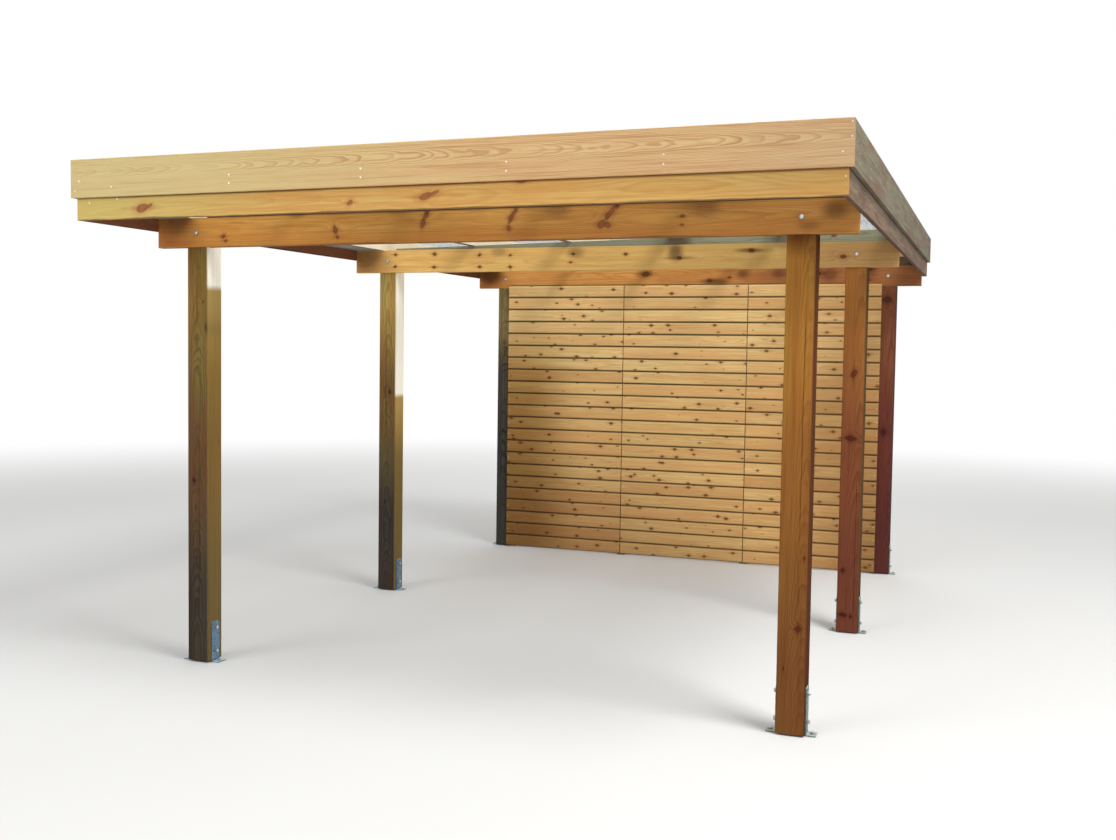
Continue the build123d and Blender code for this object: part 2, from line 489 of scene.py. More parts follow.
class TimberDye(Dye):
    """A timber's material, laid on in layers.

    Attributes:
        RUB: width of the worn strip on each side of a corner, metres.
        wood: colours and grain of the wood.
        stick: how the timber lies and what it shows.
        colour: what the layers so far give.
        relief: height of the surface, for its bumps.
        along, across, deep: place from the timber's middle, metres.
        middle: the timber's middle along and across, metres.
        half: half its width and half its thickness, metres.
        seed: start of its noises across the grain.
        line: place along the timber on which its slow bends depend.
        ripple, fibre, streak, grain, cloud, patch, curl: noises drawn out along the grain.
        drift: three slow noises along the timber.
        on_face: point on the show face at which knots, stains and painted shade are measured.
        knot, tail: distances from the nearest knot and from the dark grain before and behind it.
    """

    RUB = 0.005

    def __init__(self, name: str, wood: Timber, stick: Stick) -> None:
        """Starts with plain spring wood.

        Args:
            name: name of the material.
            wood: colours and grain of the wood.
            stick: how the timber lies and what it shows.
        """
        super().__init__(name)
        self.wood, self.stick = wood, stick
        self.colour: Entry = wood.pale

    def build(self) -> bpy.types.Material:
        """Lays the layers on, one after the other.

        Returns:
            The finished material.
        """
        self._measure()
        self._noises()
        self.knot, self.tail = self._nearest_knot()
        late = self._years()
        self._grain(late)
        aged = self._weather()
        core, rim = self._knot_marks()
        end = self._edges()
        self._tones()
        self._turned_face()
        self.relief = late * 0.55 + self.fibre * 0.5 + self.patch * 0.3 - rim * 0.6 + core * 0.3
        self._marks()
        rough = self.fibre.spread(0.25) + aged * 0.2 + end * 0.12 + 0.66 - core * 0.14
        return self.finish({"Specular IOR Level": self.wood.gloss},
                           {"Base Color": self.colour, "Roughness": rough.lesser(0.95)},
                           self.relief, depth=0.0006, strength=0.55)

    def _measure(self) -> None:
        """Places on the timber from its middle, and half its width and thickness."""
        place = self.place()
        length, width, depth = self.stick.run.value
        middle = [(low + high) / 2 for low, high in zip(self.stick.low, self.stick.high)]
        half = [(high - low) / 2 for low, high in zip(self.stick.low, self.stick.high)]
        self.along, self.across, self.deep = (place[i] - middle[i] for i in (length, width, depth))
        self.middle, self.half = (middle[length], middle[width]), (half[width], half[depth])
        self.seed: Entry = self.stick.seed
        self.line = self.along

    def _noises(self) -> None:
        """The noises that the layers share, and the point at which knots, stains and painted shade are
        measured.
        """
        seed = self.stick.seed
        self.ripple = self._stretched(1.9, 17.0, 3.1 + seed)
        self.fibre = self._stretched(9.0, 430.0, 7.7)
        self.streak = self._stretched(1.1, 42.0, 11.3 + seed, 4.0)
        self.grain = self._stretched(2.6, 150.0, 15.1 + seed)
        self.cloud = self._stretched(1.3, 5.0, 19.9 + seed)
        self.patch = self._stretched(3.2, 12.0, 27.7 + seed, 4.0)
        self.curl = self._stretched(13.0, 36.0, 33.1 + seed, 2.0)
        self.drift = self.wander(self.line, seed * 1.37, 0.75)
        wobble = self.ripple.spread(0.020) + self.streak.spread(0.012)
        self.on_face = self.vector(self.along + self.middle[0] + wobble,
                                   self.across + self.middle[1] + self.patch.spread(0.018), 0.0)

    def _stretched(self, lengthwise: float, crosswise: float, shift: float, detail: float = 3.0) -> Wire:
        """Noise drawn out along the grain.

        Args:
            lengthwise: how often it turns per metre along the timber.
            crosswise: how often it turns per metre across and through it.
            shift: start of the noise.
            detail: how much fine noise lies on the coarse one.

        Returns:
            The noise, around 0.5.
        """
        point = self.vector(self.along * lengthwise + shift, self.across * crosswise + self.seed,
                            self.deep * crosswise)
        return self.noise(point, 1.0, detail, 0.55)

    def _lay(self, share: Entry, colour: Entry) -> None:
        """Covers a share of the colour with another one."""
        self.colour = self.mix(share, self.colour, colour)

    def _climb(self, blur: float) -> Wire:
        """Place on the timber's long axis, blurred by the clouds."""
        return self.along + (self.middle[0] + self.cloud.spread(blur))

    def _away(self, oval: Oval, longer: float = 1.0, taller: float = 1.0, tilt: float = 0.0) -> Wire:
        """Distance from the middle of an oval on the face.

        Args:
            oval: the oval.
            longer: what its size along the timber is multiplied by.
            taller: what its size across the timber is multiplied by.
            tilt: turn of its long way, radians.

        Returns:
            The distance, which is 1 on the oval's rim.
        """
        return self.length(self.node("ShaderNodeMapping", {"vector_type": "TEXTURE"},
                                     {0: self.on_face, 1: (oval.along, oval.across, 0.0), 2: (0.0, 0.0, tilt),
                                      3: (oval.wide * longer, oval.tall * taller, 1.0)}))

    def _nearest_knot(self) -> tuple[Optional[Wire], Optional[Wire]]:
        """Distances from the nearest knot and from the dark grain before and behind it.

        Returns:
            Two wires, in both of which 1 is the edge, or None twice where the wood has no knots.
        """
        wood = self.wood
        nearest = tail = None
        if wood.knotty > 0:
            wide, tall = wood.spacing
            face = self.across + self.deep * 0.7
            cell = self.vector(self.along / wide + self.seed, face / tall + self.seed, 0.0)
            spots = self.node("ShaderNodeTexVoronoi", {"voronoi_dimensions": "2D"},
                              {"Vector": cell, "Scale": 1.0, "Randomness": 0.9}, "Position")
            offset = self.vector_maths("SUBTRACT", cell, spots)
            offset = self.vector_maths("MULTIPLY", offset, (wide / 1.35, tall, 0.0))
            chance = self.node("ShaderNodeTexWhiteNoise", {"noise_dimensions": "3D"}, {"Vector": spots})
            size = (1.0 - chance.rise(0.0, wood.knotty)) * wood.knot_size + 0.0004
            nearest = self.length(offset) / size
            tail = self.length(self.vector_maths("MULTIPLY", offset, (0.2, 1.25, 0.0))) / size
        for knot in self.stick.knots:
            own, behind = self._away(knot, tilt=knot.tilt), self._away(knot, 5.0, 0.8)
            nearest = own if nearest is None else nearest.lesser(own)
            tail = behind if tail is None else tail.lesser(behind)
        return nearest, tail

    def _heart(self) -> tuple[Wire, Wire]:
        """Distances from the tree's wandering centre.

        Returns:
            The distance across the face and the distance through the timber.
        """
        heart_across, heart_deep = self.stick.heart
        off = self.across - heart_across - self.drift[0].spread(self.wood.swing) * 1.6
        back = self.deep - heart_deep - self.drift[1].spread(self.wood.swing)
        if self.wood.flame > 0:
            flicker, _, _ = self.wander(self.along, self.stick.seed * 2.1, 5.5)
            back = back + flicker.spread(self.wood.flame)
        return off, back

    def _years(self) -> Wire:
        """The year rings, which bend around the knots.

        Returns:
            1 on the dark summer wood, 0 on the spring wood.
        """
        off, back = self._heart()
        swell = 0.0 if self.knot is None else (self.knot * self.knot * -0.28).exp() * 0.011
        waves = (self.ripple.spread(self.wood.wave) + self.curl.spread(self.wood.curl)
                 + self.along * self.stick.taper)
        years = (self.length(self.vector(off, back, 0.0)) + waves + swell) / self.wood.ring
        part = years.rest()
        year = self.node("ShaderNodeTexWhiteNoise", {"noise_dimensions": "1D"},
                         {"W": years.whole() + self.stick.seed})
        late = (part.rise(0.3, 0.86) - part.rise(0.88, 1.0)) * (year * 0.6 + 0.4)
        return late * (self.cloud.rise(0.3, 0.7) * 0.5 + 0.6)

    def _grain(self, late: Wire) -> None:
        """Summer wood, streaks and blotches of resin, and the fine fibres.

        Args:
            late: 1 on the summer wood.
        """
        wood = self.wood
        self._lay(late * wood.lines, wood.late)
        self._lay(self.streak.rise(0.42, 0.72) * 0.6, wood.warm)
        self._lay(self.patch.rise(0.44, 0.66) * wood.mottle, wood.warm)
        if wood.rosy > 0:
            from_edge = (self.across + self.patch.spread(0.03)).rise(-self.half[0], self.half[0] * 0.4)
            self._lay((1.0 - from_edge) * wood.rosy, wood.warm)
        self._lay(self.grain.rise(0.46, 0.74) * wood.lines * 0.7, wood.late)
        self._lay(self.fibre.spread(0.8) + 0.06, wood.late)

    def _weather(self) -> Wire:
        """The colour that weather brings, in clouds and patches.

        Returns:
            How weathered the wood is.
        """
        ageing = self.wood.ageing
        aged = (self.cloud.rise(0.38, 0.72) * 0.75 + 0.25) * ageing
        aged = aged + self.patch.rise(0.6, 0.85) * ageing * 0.4
        # Weathering grows along this span; on the front beam its dark aged colour lays painted shade.
        if self.stick.weather_and_shade_span is not None:
            aged = aged + self._climb(0.8).rise(*self.stick.weather_and_shade_span) * 0.45
        self._lay(aged, self.wood.aged)
        return aged

    def _knot_marks(self) -> tuple[Entry, Entry]:
        """Knots with their rings, rims and halos, and the dark grain that runs into them.

        Returns:
            1 inside a knot, and 1 on its rim.
        """
        if self.knot is None:
            return 0.0, 0.0
        wood = self.wood
        edge = self.knot + self.patch.spread(0.8) + self.fibre.spread(0.4)
        core = 1.0 - edge.rise(0.55, 1.15)
        halo = 1.0 - edge.rise(0.8, 2.4)
        rim = edge.rise(0.5, 0.82) * core
        drag = (1.0 - self.tail.rise(0.1, 1.0)) * (self.streak * 0.9)
        growth = (self.knot * 4.0 + self.fibre).rest().rise(0.3, 0.9)
        self._lay((drag + halo * 0.3).lesser(0.85), self.mix(0.35, wood.late, wood.knot_red))
        self._lay(core * (wood.knot_share - wood.knot_soft * self.patch),
                  self.mix(growth * 0.6, wood.knot_red, wood.knot_dark))
        self._lay(rim * 0.65, wood.knot_dark)
        return core, rim

    def _edges(self) -> Wire:
        """End grain, painted shade towards one end, and paler corners where the wood is worn.

        Returns:
            1 on the end grain.
        """
        lengthwise = self.stick.run.value[0]
        end = abs(self.facing(tuple(float(i == lengthwise) for i in range(3)))).rise(0.6, 0.9)
        self._lay(end * 0.5, self.wood.late)
        # Painted shade: the timber darkens towards one end.
        if self.stick.damp is not None:
            self._lay(self._climb(0.15).rise(*self.stick.damp) * 0.6, self.wood.end_shade)
        corners = [(abs(place) - (half - self.RUB)).rise(0.0, self.RUB)
                   for place, half in zip((self.across, self.deep), self.half)]
        self._lay(corners[0] * corners[1] * (0.25 + self.patch * 0.35), self.wood.pale)
        return end

    def _tones(self) -> None:
        """Paints light and shade on the timber from end to end."""
        if self.stick.tones is not None:
            tones, (start, centre, stop) = self.stick.tones, self.stick.tones.places
            climb = self._climb(0.3)
            tone = self.mix(climb.rise(start, centre), tones.low, tones.middle)
            self.colour = self.tint(self.colour, self.mix(climb.rise(centre, stop), tone, tones.high))

    def _turned_face(self) -> None:
        """Paints light and shade on one face: the plain colour, and beyond the start the timber's turned
        colour.
        """
        turned = self.stick.turned
        if turned is not None:
            facing = self.facing(turned.way).rise(0.5, 0.9) * (0.6 + self.streak * 0.8)
            near = self.along.rise(turned.start - turned.approach, turned.start)
            self._lay((facing * (near * 1.6 + 1.0) * turned.low).lesser(1.0), self.wood.pale)
            beyond = self.along.rise(turned.start, turned.stop) * 0.95 + near * 0.05
            self._lay(beyond * turned.high * facing, self.wood.turned)

    def _marks(self) -> None:
        """Stains and patches of painted shade, and a drying crack with its groove."""
        for smudge in self.stick.smudges:
            blurred = self._away(smudge) + self.patch.spread(0.9) + self.streak.spread(0.5)
            self._lay((1.0 - blurred.rise(0.25, 1.15)) * smudge.share, self.wood.knot_dark)
        if self.stick.crack is not None:
            centre, start, stop = self.stick.crack
            line = abs(self.across - (centre - self.middle[1]) - self.drift[2].spread(0.012)
                       - self.fibre.spread(0.0012))
            spot = self.along + self.middle[0]
            open_part = spot.rise(start, start + 0.25) * (1.0 - spot.rise(stop - 0.25, stop))
            crack = (1.0 - line.rise(0.0004, 0.0024)) * open_part
            self._lay(crack * 0.8, self.wood.knot_dark)
            self.relief = self.relief - crack * 2.5


class BoardDye(TimberDye):
    """The material of a wall of level boards, each with a grain of its own.

    Attributes:
        pitch: height of one board, metres.
        board: the number that each board carries as the attribute 'board'.
    """

    def __init__(self, name: str, wood: Timber, stick: Stick, pitch: float) -> None:
        """Starts with plain spring wood.

        Args:
            name: name of the material.
            wood: colours and grain of the wood.
            stick: box of the wall.
            pitch: height of one board, metres.
        """
        super().__init__(name, wood, stick)
        self.pitch = pitch
        self.board = self.attribute("board")

    def _measure(self) -> None:
        """Places on each board from its middle, far apart on boards that lie side by side."""
        x, y, z = self.place()
        low, high = self.stick.low, self.stick.high
        self.along = x + self.board * 61.0
        self.across = ((z - low[2]) / self.pitch).rest() * self.pitch - self.pitch / 2
        self.deep = y - (low[1] + high[1]) / 2
        self.middle, self.half = (0.0, 0.0), (self.pitch / 2, (high[1] - low[1]) / 2)
        self.seed = self.board * 37.0 + self.stick.seed
        self.line = self.along + self.board * 9.0

    def _heart(self) -> tuple[Wire, Wire]:
        """Distances from the tree's centre, which differs from board to board.

        Returns:
            The distance across the face and the distance through the board.
        """
        off, back = super()._heart()
        return off + (self.board * 7.0).rest() * 0.05 - 0.025, back + (self.board * 13.0).rest() * 0.02

    def _grain(self, late: Wire) -> None:
        """Makes some boards redder or darker, paints a highlight along their upper edges and paints shade in
        the gaps.

        Args:
            late: 1 on the summer wood.
        """
        super()._grain(late)
        wood, half = self.wood, self.half[0]
        self._lay((self.board * 5.0).rest().rise(0.35, 1.0) * 0.48, wood.warm)
        self._lay((self.board * 17.0).rest().rise(0.5, 1.0) * 0.35, wood.late)
        # Painted highlight along each board's upper edge.
        self._lay(self.across.rise(half - 0.020, half - 0.013) * (self.patch * 0.5 + 0.2), wood.pale)
        # Painted shade in the gap between two boards.
        self._lay(abs(self.across).rise(half - 0.0076, half - 0.0044) * 0.98, wood.knot_dark)

    def _marks(self) -> None:
        """Adds splash dirt and painted shade low on the wall, and painted shade on its right side, its left
        end and its lower part.
        """
        super()._marks()
        east, _, height = self.place()
        # Splash dirt and painted shade: redder and darker towards the foot and the left.
        foot_dirt_and_shade = 1.0 - (height + east * 0.5 + self.cloud.spread(0.5)).rise(-0.5, 1.0)
        self._lay(foot_dirt_and_shade * 0.5, self.wood.knot_red)
        # Painted shade: darker towards the right.
        self._lay(east.rise(0.1, 1.9) * 0.34, self.wood.late)
        blurred = east + self.cloud.spread(0.3)
        # Painted shadow over the left end, below the top.
        left = 1.0 - blurred.rise(-1.3, -0.75)
        # Multiplies in painted shade: darker towards the bottom, at the left end and on the right side.
        for share, tone in ((1.0 - height.rise(0.9, 2.1), (0.84, 0.79, 0.73)),
                            (left * (1.0 - height.rise(1.3, 2.15)), (0.48, 0.42, 0.29)),
                            (blurred.rise(0.55, 1.5) * (1.0 - height * 0.28), (0.42, 0.37, 0.33))):
            self.colour = self.tint(self.colour, self.mix(share, PLAIN, tone))


@dataclass(frozen=True)
class Galvanised:
    """Zinc-coated steel with a faint crystal pattern.

    Attributes:
        bright: lighter crystals.
        dull: darker crystals.
        dust: pale colour of dust in clouds, and a painted sky reflection on faces that look up.
        crystal: size of a crystal in metres.
    """

    bright: Colour = paint(144, 176, 198)
    dull: Colour = paint(70, 106, 134)
    dust: Colour = paint(226, 232, 230)
    crystal: float = 0.008

    def material(self, name: str) -> bpy.types.Material:
        """The metal's material.

        Args:
            name: name of the material.

        Returns:
            The material.
        """
        dye = Dye(name)
        point = dye.point()
        cell = dye.node("ShaderNodeTexVoronoi", {"voronoi_dimensions": "3D"},
                        {"Vector": point, "Scale": 1 / self.crystal, "Randomness": 1.0}, "Color")
        shade = dye.node("ShaderNodeSeparateColor", {}, {0: cell})
        cloud = dye.noise(point, 22.0, 4.0, 0.6)
        fine = dye.noise(point, 900.0, 2.0, 0.6)
        colour = dye.mix(shade * 0.55 + cloud * 0.35, self.dull, self.bright)
        # Dust in clouds, and a painted sky reflection on faces that look up.
        dust_and_sheen = (cloud.rise(0.58, 0.8) * 0.5 + dye.facing(UP).rise(0.6, 0.9) * 0.8).lesser(1.0)
        colour = dye.mix(dust_and_sheen * 0.7, colour, self.dust)
        rough = 0.34 + shade.output("Green") * 0.16 + dust_and_sheen * 0.22 + fine * 0.06
        return dye.finish({"Specular IOR Level": 0.5},
                          {"Base Color": colour, "Roughness": rough, "Metallic": 0.9 - dust_and_sheen * 0.35},
                          fine * 0.5 + shade * 0.3, depth=0.0002, strength=0.4)


@dataclass(frozen=True)
class Fastener:
    """Bright zinc on bolts and screws, greyed by grime, with painted shade in the middle of a flat head, on
    the washers and at the heads' edges.

    Attributes:
        bright: colour of the clean metal.
        shaded: colour of the grime on it.
        dirt: colour of the painted shade in the middle of a flat head, on the washers and at the heads'
            edges.
    """

    bright: Colour = paint(222, 224, 222)
    shaded: Colour = paint(120, 122, 120)
    dirt: Colour = paint(44, 42, 40)

    def material(self, name: str) -> bpy.types.Material:
        """The material of the fasteners, which reads the attribute 'rim'.

        Args:
            name: name of the material.

        Returns:
            The material.
        """
        dye = Dye(name)
        rim = dye.attribute("rim")
        grime = dye.noise(dye.point(), 260.0, 3.0, 0.6)
        # Painted shade in the middle of a flat head.
        recess_shade = 1.0 - rim.rise(0.22, 0.36)
        colour = dye.mix(grime.rise(0.45, 0.8) * 0.55, self.bright, self.shaded)
        # Painted shade on the washers and at the heads' edges.
        colour = dye.mix((recess_shade * 0.75).greater(rim.rise(1.22, 1.48) * 0.7), colour, self.dirt)
        return dye.finish({"Specular IOR Level": 0.5},
                          {"Base Color": colour, "Roughness": 0.26 + grime * 0.3,
                           "Metallic": 0.85 - recess_shade * 0.5},
                          grime, depth=0.0001, strength=0.4)


@dataclass(frozen=True)
class ClearSheet:
    """Slightly cloudy clear plastic with dust in its valleys.

    Attributes:
        tint: colour of the plastic.
        dust: colour of the dust on it.
        see_through: how much shows through the clean plastic.
    """

    tint: Colour = paint(224, 230, 233)
    dust: Colour = paint(190, 187, 174)
    see_through: float = 0.80

    def material(self, name: str) -> bpy.types.Material:
        """The material of the roof sheets.

        Args:
            name: name of the material.

        Returns:
            The material.
        """
        dye = Dye(name)
        point = dye.point()
        stretch = dye.node("ShaderNodeMapping", {}, {0: point, 3: (0.35, 3.0, 1.0)})
        dust = dye.noise(stretch, 3.0, 5.0, 0.62).rise(0.46, 0.78)
        speck = dye.noise(point, 160.0, 3.0, 0.7).rise(0.6, 0.75)
        dirt = (dust * 0.55 + speck * 0.3).lesser(1.0)
        colour = dye.mix(dirt * 0.6, self.tint, self.dust)
        return dye.finish({"Specular IOR Level": 0.5, "IOR": 1.52},
                          {"Base Color": colour, "Roughness": 0.14 + dirt * 0.4,
                           "Alpha": 1.0 - self.see_through + dirt * 0.15},
                          dust, depth=0.0003, strength=0.08)


@dataclass(frozen=True)
class GutterPlastic:
    """Grey moulded plastic, chalked by the sun, with leaf dirt on its floor.

    Attributes:
        grey: colour of the fresh plastic.
        chalk: colour of the chalked plastic.
        silt: colour of the dirt.
    """

    grey: Colour = paint(146, 148, 146)
    chalk: Colour = paint(184, 184, 178)
    silt: Colour = paint(92, 82, 62)

    def material(self, name: str, floor: float) -> bpy.types.Material:
        """The material of the gutter.

        Args:
            name: name of the material.
            floor: height of the gutter's underside, metres.

        Returns:
            The material.
        """
        dye = Dye(name)
        _, _, height = dye.place()
        cloud = dye.noise(dye.point(), 3.5, 4.0, 0.6)
        grit = dye.noise(dye.point(), 420.0, 3.0, 0.6)
        low = 1.0 - (height + cloud.spread(0.02) - floor).rise(0.006, 0.022)
        colour = dye.mix(cloud.rise(0.35, 0.75) * 0.6, self.grey, self.chalk)
        colour = dye.mix(low * grit.rise(0.3, 0.6) * 0.7, colour, self.silt)
        return dye.finish({"Specular IOR Level": 0.4},
                          {"Base Color": colour, "Roughness": 0.42 + cloud * 0.25},
                          grit, depth=0.0002, strength=0.35)


class Growth(Graph):
    """A Geometry Nodes tree with named inputs for its sizes."""

    def __init__(self, name: str) -> None:
        """Starts a tree that takes and gives a geometry.

        Args:
            name: name of the tree.
        """
        super().__init__(bpy.data.node_groups.new(name, "GeometryNodeTree"))
        self.tree.interface.new_socket("Geometry", in_out="INPUT", socket_type="NodeSocketGeometry")
        self.tree.interface.new_socket("Geometry", in_out="OUTPUT", socket_type="NodeSocketGeometry")
        self.start = self.tree.nodes.new("NodeGroupInput")
        self.keys: dict[str, str] = {}
        self.material_wire = self.entry("Finish", "NodeSocketMaterial")

    def entry(self, name: str, kind: str = "NodeSocketFloat") -> Wire:
        """Adds a named input.

        Args:
            name: the input's name.
            kind: Blender's socket type.

        Returns:
            The wire that carries it.
        """
        socket = self.tree.interface.new_socket(name, in_out="INPUT", socket_type=kind)
        self.keys[name] = socket.identifier
        return Wire(self, self.start.outputs[name])

    @property
    def points(self) -> Wire:
        """The geometry that comes in."""
        return Wire(self, self.start.outputs["Geometry"])

    def store(self, shape: Wire, name: str, value: Entry) -> Wire:
        """Writes a number on every point of a shape, under that name."""
        return self.node("GeometryNodeStoreNamedAttribute", {"data_type": "FLOAT", "domain": "POINT"},
                         {"Geometry": shape, "Name": name, "Value": value})

    def move(self, shape: Wire, y: Entry = 0.0, z: Entry = 0.0, scale: Optional[Wire] = None) -> Wire:
        """Moves a shape back and up, and scales it where asked."""
        return self.node("GeometryNodeTransform", {},
                         {0: shape, "Translation": self.vector(0.0, y, z), "Scale": scale})

    def chance(self, low: float, high: Entry, seed: Entry) -> Wire:
        """A random number of its own for every point."""
        return self.node("FunctionNodeRandomValue", {"data_type": "FLOAT"},
                         {"Min": low, "Max": high, "Seed": seed}, 1)

    def end(self, shape: Wire) -> None:
        """Ends the tree in Realize Instances and Set Material.

        Args:
            shape: the geometry that the tree gives.
        """
        solid = self.node("GeometryNodeRealizeInstances", {}, {0: shape})
        dressed = self.node("GeometryNodeSetMaterial", {}, {0: solid, "Material": self.material_wire})
        self.close("NodeGroupOutput", "Geometry", dressed)

    def build(self, name: str, source: bpy.types.Mesh, entries: dict, slot: str,
              replaced: Sequence[str] = ()) -> bpy.types.Object:
        """Runs the tree on a mesh and keeps the plain mesh that comes out.

        Args:
            name: name of the new piece.
            source: the mesh that goes in.
            entries: a value for each named input.
            slot: name of a material slot in the record; not used.
            replaced: CAD nodes that the piece stands for.

        Returns:
            The finished piece, riding on the frame.
        """
        piece = bpy.data.objects.new(name, source)
        bpy.context.scene.collection.objects.link(piece)
        modifier = piece.modifiers.new("growth", "NODES")
        modifier.node_group = self.tree
        for key, value in entries.items():
            modifier[self.keys[key]] = value
        evaluated = piece.evaluated_get(bpy.context.evaluated_depsgraph_get())
        mesh = bpy.data.meshes.new_from_object(evaluated)
        mesh.name = name
        piece.modifiers.clear()
        piece.data = mesh
        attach(piece, "root")
        if replaced:
            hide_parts(*replaced)
        log.info("%s: %d faces", name, len(mesh.polygons))
        return piece


@dataclass(frozen=True)
class Seat:
    """Where a fastener sits, and the way its head looks."""

    at: Point
    facing: Point


def seats_mesh(name: str, seats: Sequence[Seat]) -> bpy.types.Mesh:
    """Loose points that carry the way each fastener looks.

    Args:
        name: name of the mesh.
        seats: the places.

    Returns:
        A mesh with one vertex a seat and the attribute 'facing'.
    """
    mesh = bpy.data.meshes.new(name)
    mesh.from_pydata([s.at for s in seats], [], [])
    facing = mesh.attributes.new("facing", "FLOAT_VECTOR", "POINT")
    facing.data.foreach_set("vector", [v for s in seats for v in s.facing])
    return mesh


class HeadShape(Enum):
    """Kinds of fastener heads: corners of the head, and whether it is domed."""

    HEXAGON = (6, False)
    DOME = (14, True)
    FLAT = (12, False)


@dataclass
class FastenerTree:
    """Geometry Nodes that put the same fastener on every seat.

    Attributes:
        name: name of the tree.
        head: kind of head.
        washer: whether a washer lies under the head.
    """

    name: str
    head: HeadShape
    washer: bool = True

    SIZES = ("Head Radius", "Head Height", "Washer Radius", "Washer Height")

    def __post_init__(self) -> None:
        """Builds the tree."""
        grow = Growth(self.name)
        head_radius, head_height, washer_radius, washer_height = (grow.entry(name) for name in self.SIZES)
        seed = grow.entry("Seed", "NodeSocketInt")
        shape = self._head(grow, head_radius, head_height, washer_height)
        if self.washer:
            ring = grow.node("GeometryNodeMeshCylinder", {"fill_type": "TRIANGLE_FAN"},
                             {"Vertices": 20, "Radius": washer_radius, "Depth": washer_height})
            # The washer carries rim 1.42, on which the fastener material lays painted shade.
            ring = grow.move(grow.store(ring, "rim", 1.42), z=washer_height * 0.4)
            shape = grow.node("GeometryNodeJoinGeometry", {}, {0: [ring, shape]})
        grow.end(grow.node("GeometryNodeInstanceOnPoints", {},
                           {"Points": grow.points, "Instance": shape, "Rotation": self._turn(grow, seed)}))
        self.growth = grow

    def _head(self, grow: Growth, radius: Wire, height: Wire, washer_height: Wire) -> Wire:
        """The head, which carries the distance from its middle as the attribute 'rim'.

        Args:
            grow: the tree.
            radius: radius of the head.
            height: height of the head.
            washer_height: thickness of the washer.

        Returns:
            The head, on its washer or sunk into the wood.
        """
        corners, domed = self.head.value
        if domed:
            body = grow.node("GeometryNodeMeshUVSphere", {},
                             {"Segments": corners, "Rings": 8, "Radius": 1.0})
        else:
            body = grow.node("GeometryNodeMeshCone", {"fill_type": "TRIANGLE_FAN"},
                             {"Vertices": corners, "Side Segments": 2, "Fill Segments": 1, "Radius Top": 0.88,
                              "Radius Bottom": 1.0, "Depth": 1.0})
        lift = washer_height * 0.85 if self.washer else height * -0.88
        # On domed heads and heads with washers the brim lifts rim near 1.5 at the edge, where the fastener
        # material lays painted shade.
        brim = 0.5 if domed else 0.45 if self.washer else 0.0
        place = grow.node("ShaderNodeSeparateXYZ", {}, {0: grow.node("GeometryNodeInputPosition")})
        flat = grow.vector(place, place.output("Y"), 0.0)
        body = grow.store(body, "rim", grow.length(flat) + brim)
        return grow.move(body, z=lift, scale=grow.vector(radius, radius, height))

    @staticmethod
    def _turn(grow: Growth, seed: Wire) -> Wire:
        """Turns each fastener the way its seat faces, and by chance around its own axis.

        Args:
            grow: the tree.
            seed: start of the random turns.

        Returns:
            The rotation.
        """
        facing = grow.node("GeometryNodeInputNamedAttribute", {"data_type": "FLOAT_VECTOR"},
                           {"Name": "facing"})
        turn = grow.node("FunctionNodeAlignRotationToVector", {"axis": "Z"}, {"Vector": facing})
        spin = grow.node("FunctionNodeAxisAngleToRotation", {},
                         {"Axis": UP, "Angle": grow.chance(0.0, math.tau, seed)})
        return grow.node("FunctionNodeRotateRotation", {"rotation_space": "LOCAL"},
                         {"Rotation": turn, "Rotate By": spin})

    def place(self, name: str, seats: Sequence[Seat], sizes: Sizes,
              finish: bpy.types.Material, seed: int) -> bpy.types.Object:
        """Puts the fasteners on their seats.

        Args:
            name: name of the piece.
            seats: where they sit.
            sizes: head radius and height, washer radius and height, metres.
            finish: their material.
            seed: start of the random turns.

        Returns:
            The piece.
        """
        entries = dict(zip(self.SIZES, sizes), Seed=seed, Finish=finish)
        return self.growth.build(name, seats_mesh(name, seats), entries, "galvanised_steel")


def dress(node: str, finish: bpy.types.Material) -> None:
    """Gives a CAD node its finish and reports it.

    Args:
        node: name of the CAD node.
        finish: its material.
    """
    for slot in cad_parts[node].material_slots:
        slot.material = finish
    log.info("%s: %s", node, finish.name)


def dress_timber(node: str, wood: Timber, run: Run, seed: float, **traits: object) -> None:
    """Gives a CAD node the look of a timber.

    Args:
        node: name of the CAD node.
        wood: colours and grain of its wood.
        run: how it lies.
        seed: start of its grain.
        **traits: what else its Stick shows, such as its heart, knots or stains.
    """
    low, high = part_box(node)
    stick = Stick(run, tuple(low), tuple(high), seed, **traits)
    dress(node, TimberDye(f"timber_{node}", wood, stick).build())


FASCIA_UPPER = Timber(paint(207, 176, 124), paint(158, 94, 58), paint(200, 152, 106), paint(196, 192, 136),
                      ring=0.0042, lines=0.78, ageing=0.08, knotty=0.0, swing=0.012, wave=0.006, curl=0.004,
                      flame=0.010)
FASCIA_LOWER = Timber(paint(208, 166, 95), paint(170, 102, 48), paint(198, 134, 66), paint(194, 190, 116),
                      ring=0.0055, lines=0.55, ageing=0.18, knotty=0.0, mottle=0.35,
                      knot_dark=paint(84, 38, 24), knot_red=paint(156, 92, 56))
# The side boards are greyer and darker than the front ones: weathering together with painted shade.
# FASCIA_SIDE_LOWER's turned colour is painted shade.
FASCIA_SIDE = Timber(paint(128, 122, 98), paint(50, 38, 30), paint(110, 72, 50), paint(104, 110, 90),
                     ring=0.0046, lines=0.95, ageing=0.35, knotty=0.0, swing=0.03, wave=0.008, flame=0.02,
                     mottle=0.8)
FASCIA_SIDE_LOWER = Timber(paint(134, 110, 84), paint(46, 28, 20), paint(94, 56, 40), paint(104, 102, 84),
                           ring=0.005, lines=1.0, ageing=0.3, knotty=0.1, wave=0.008, flame=0.02, mottle=0.9,
                           turned=paint(136, 80, 52))
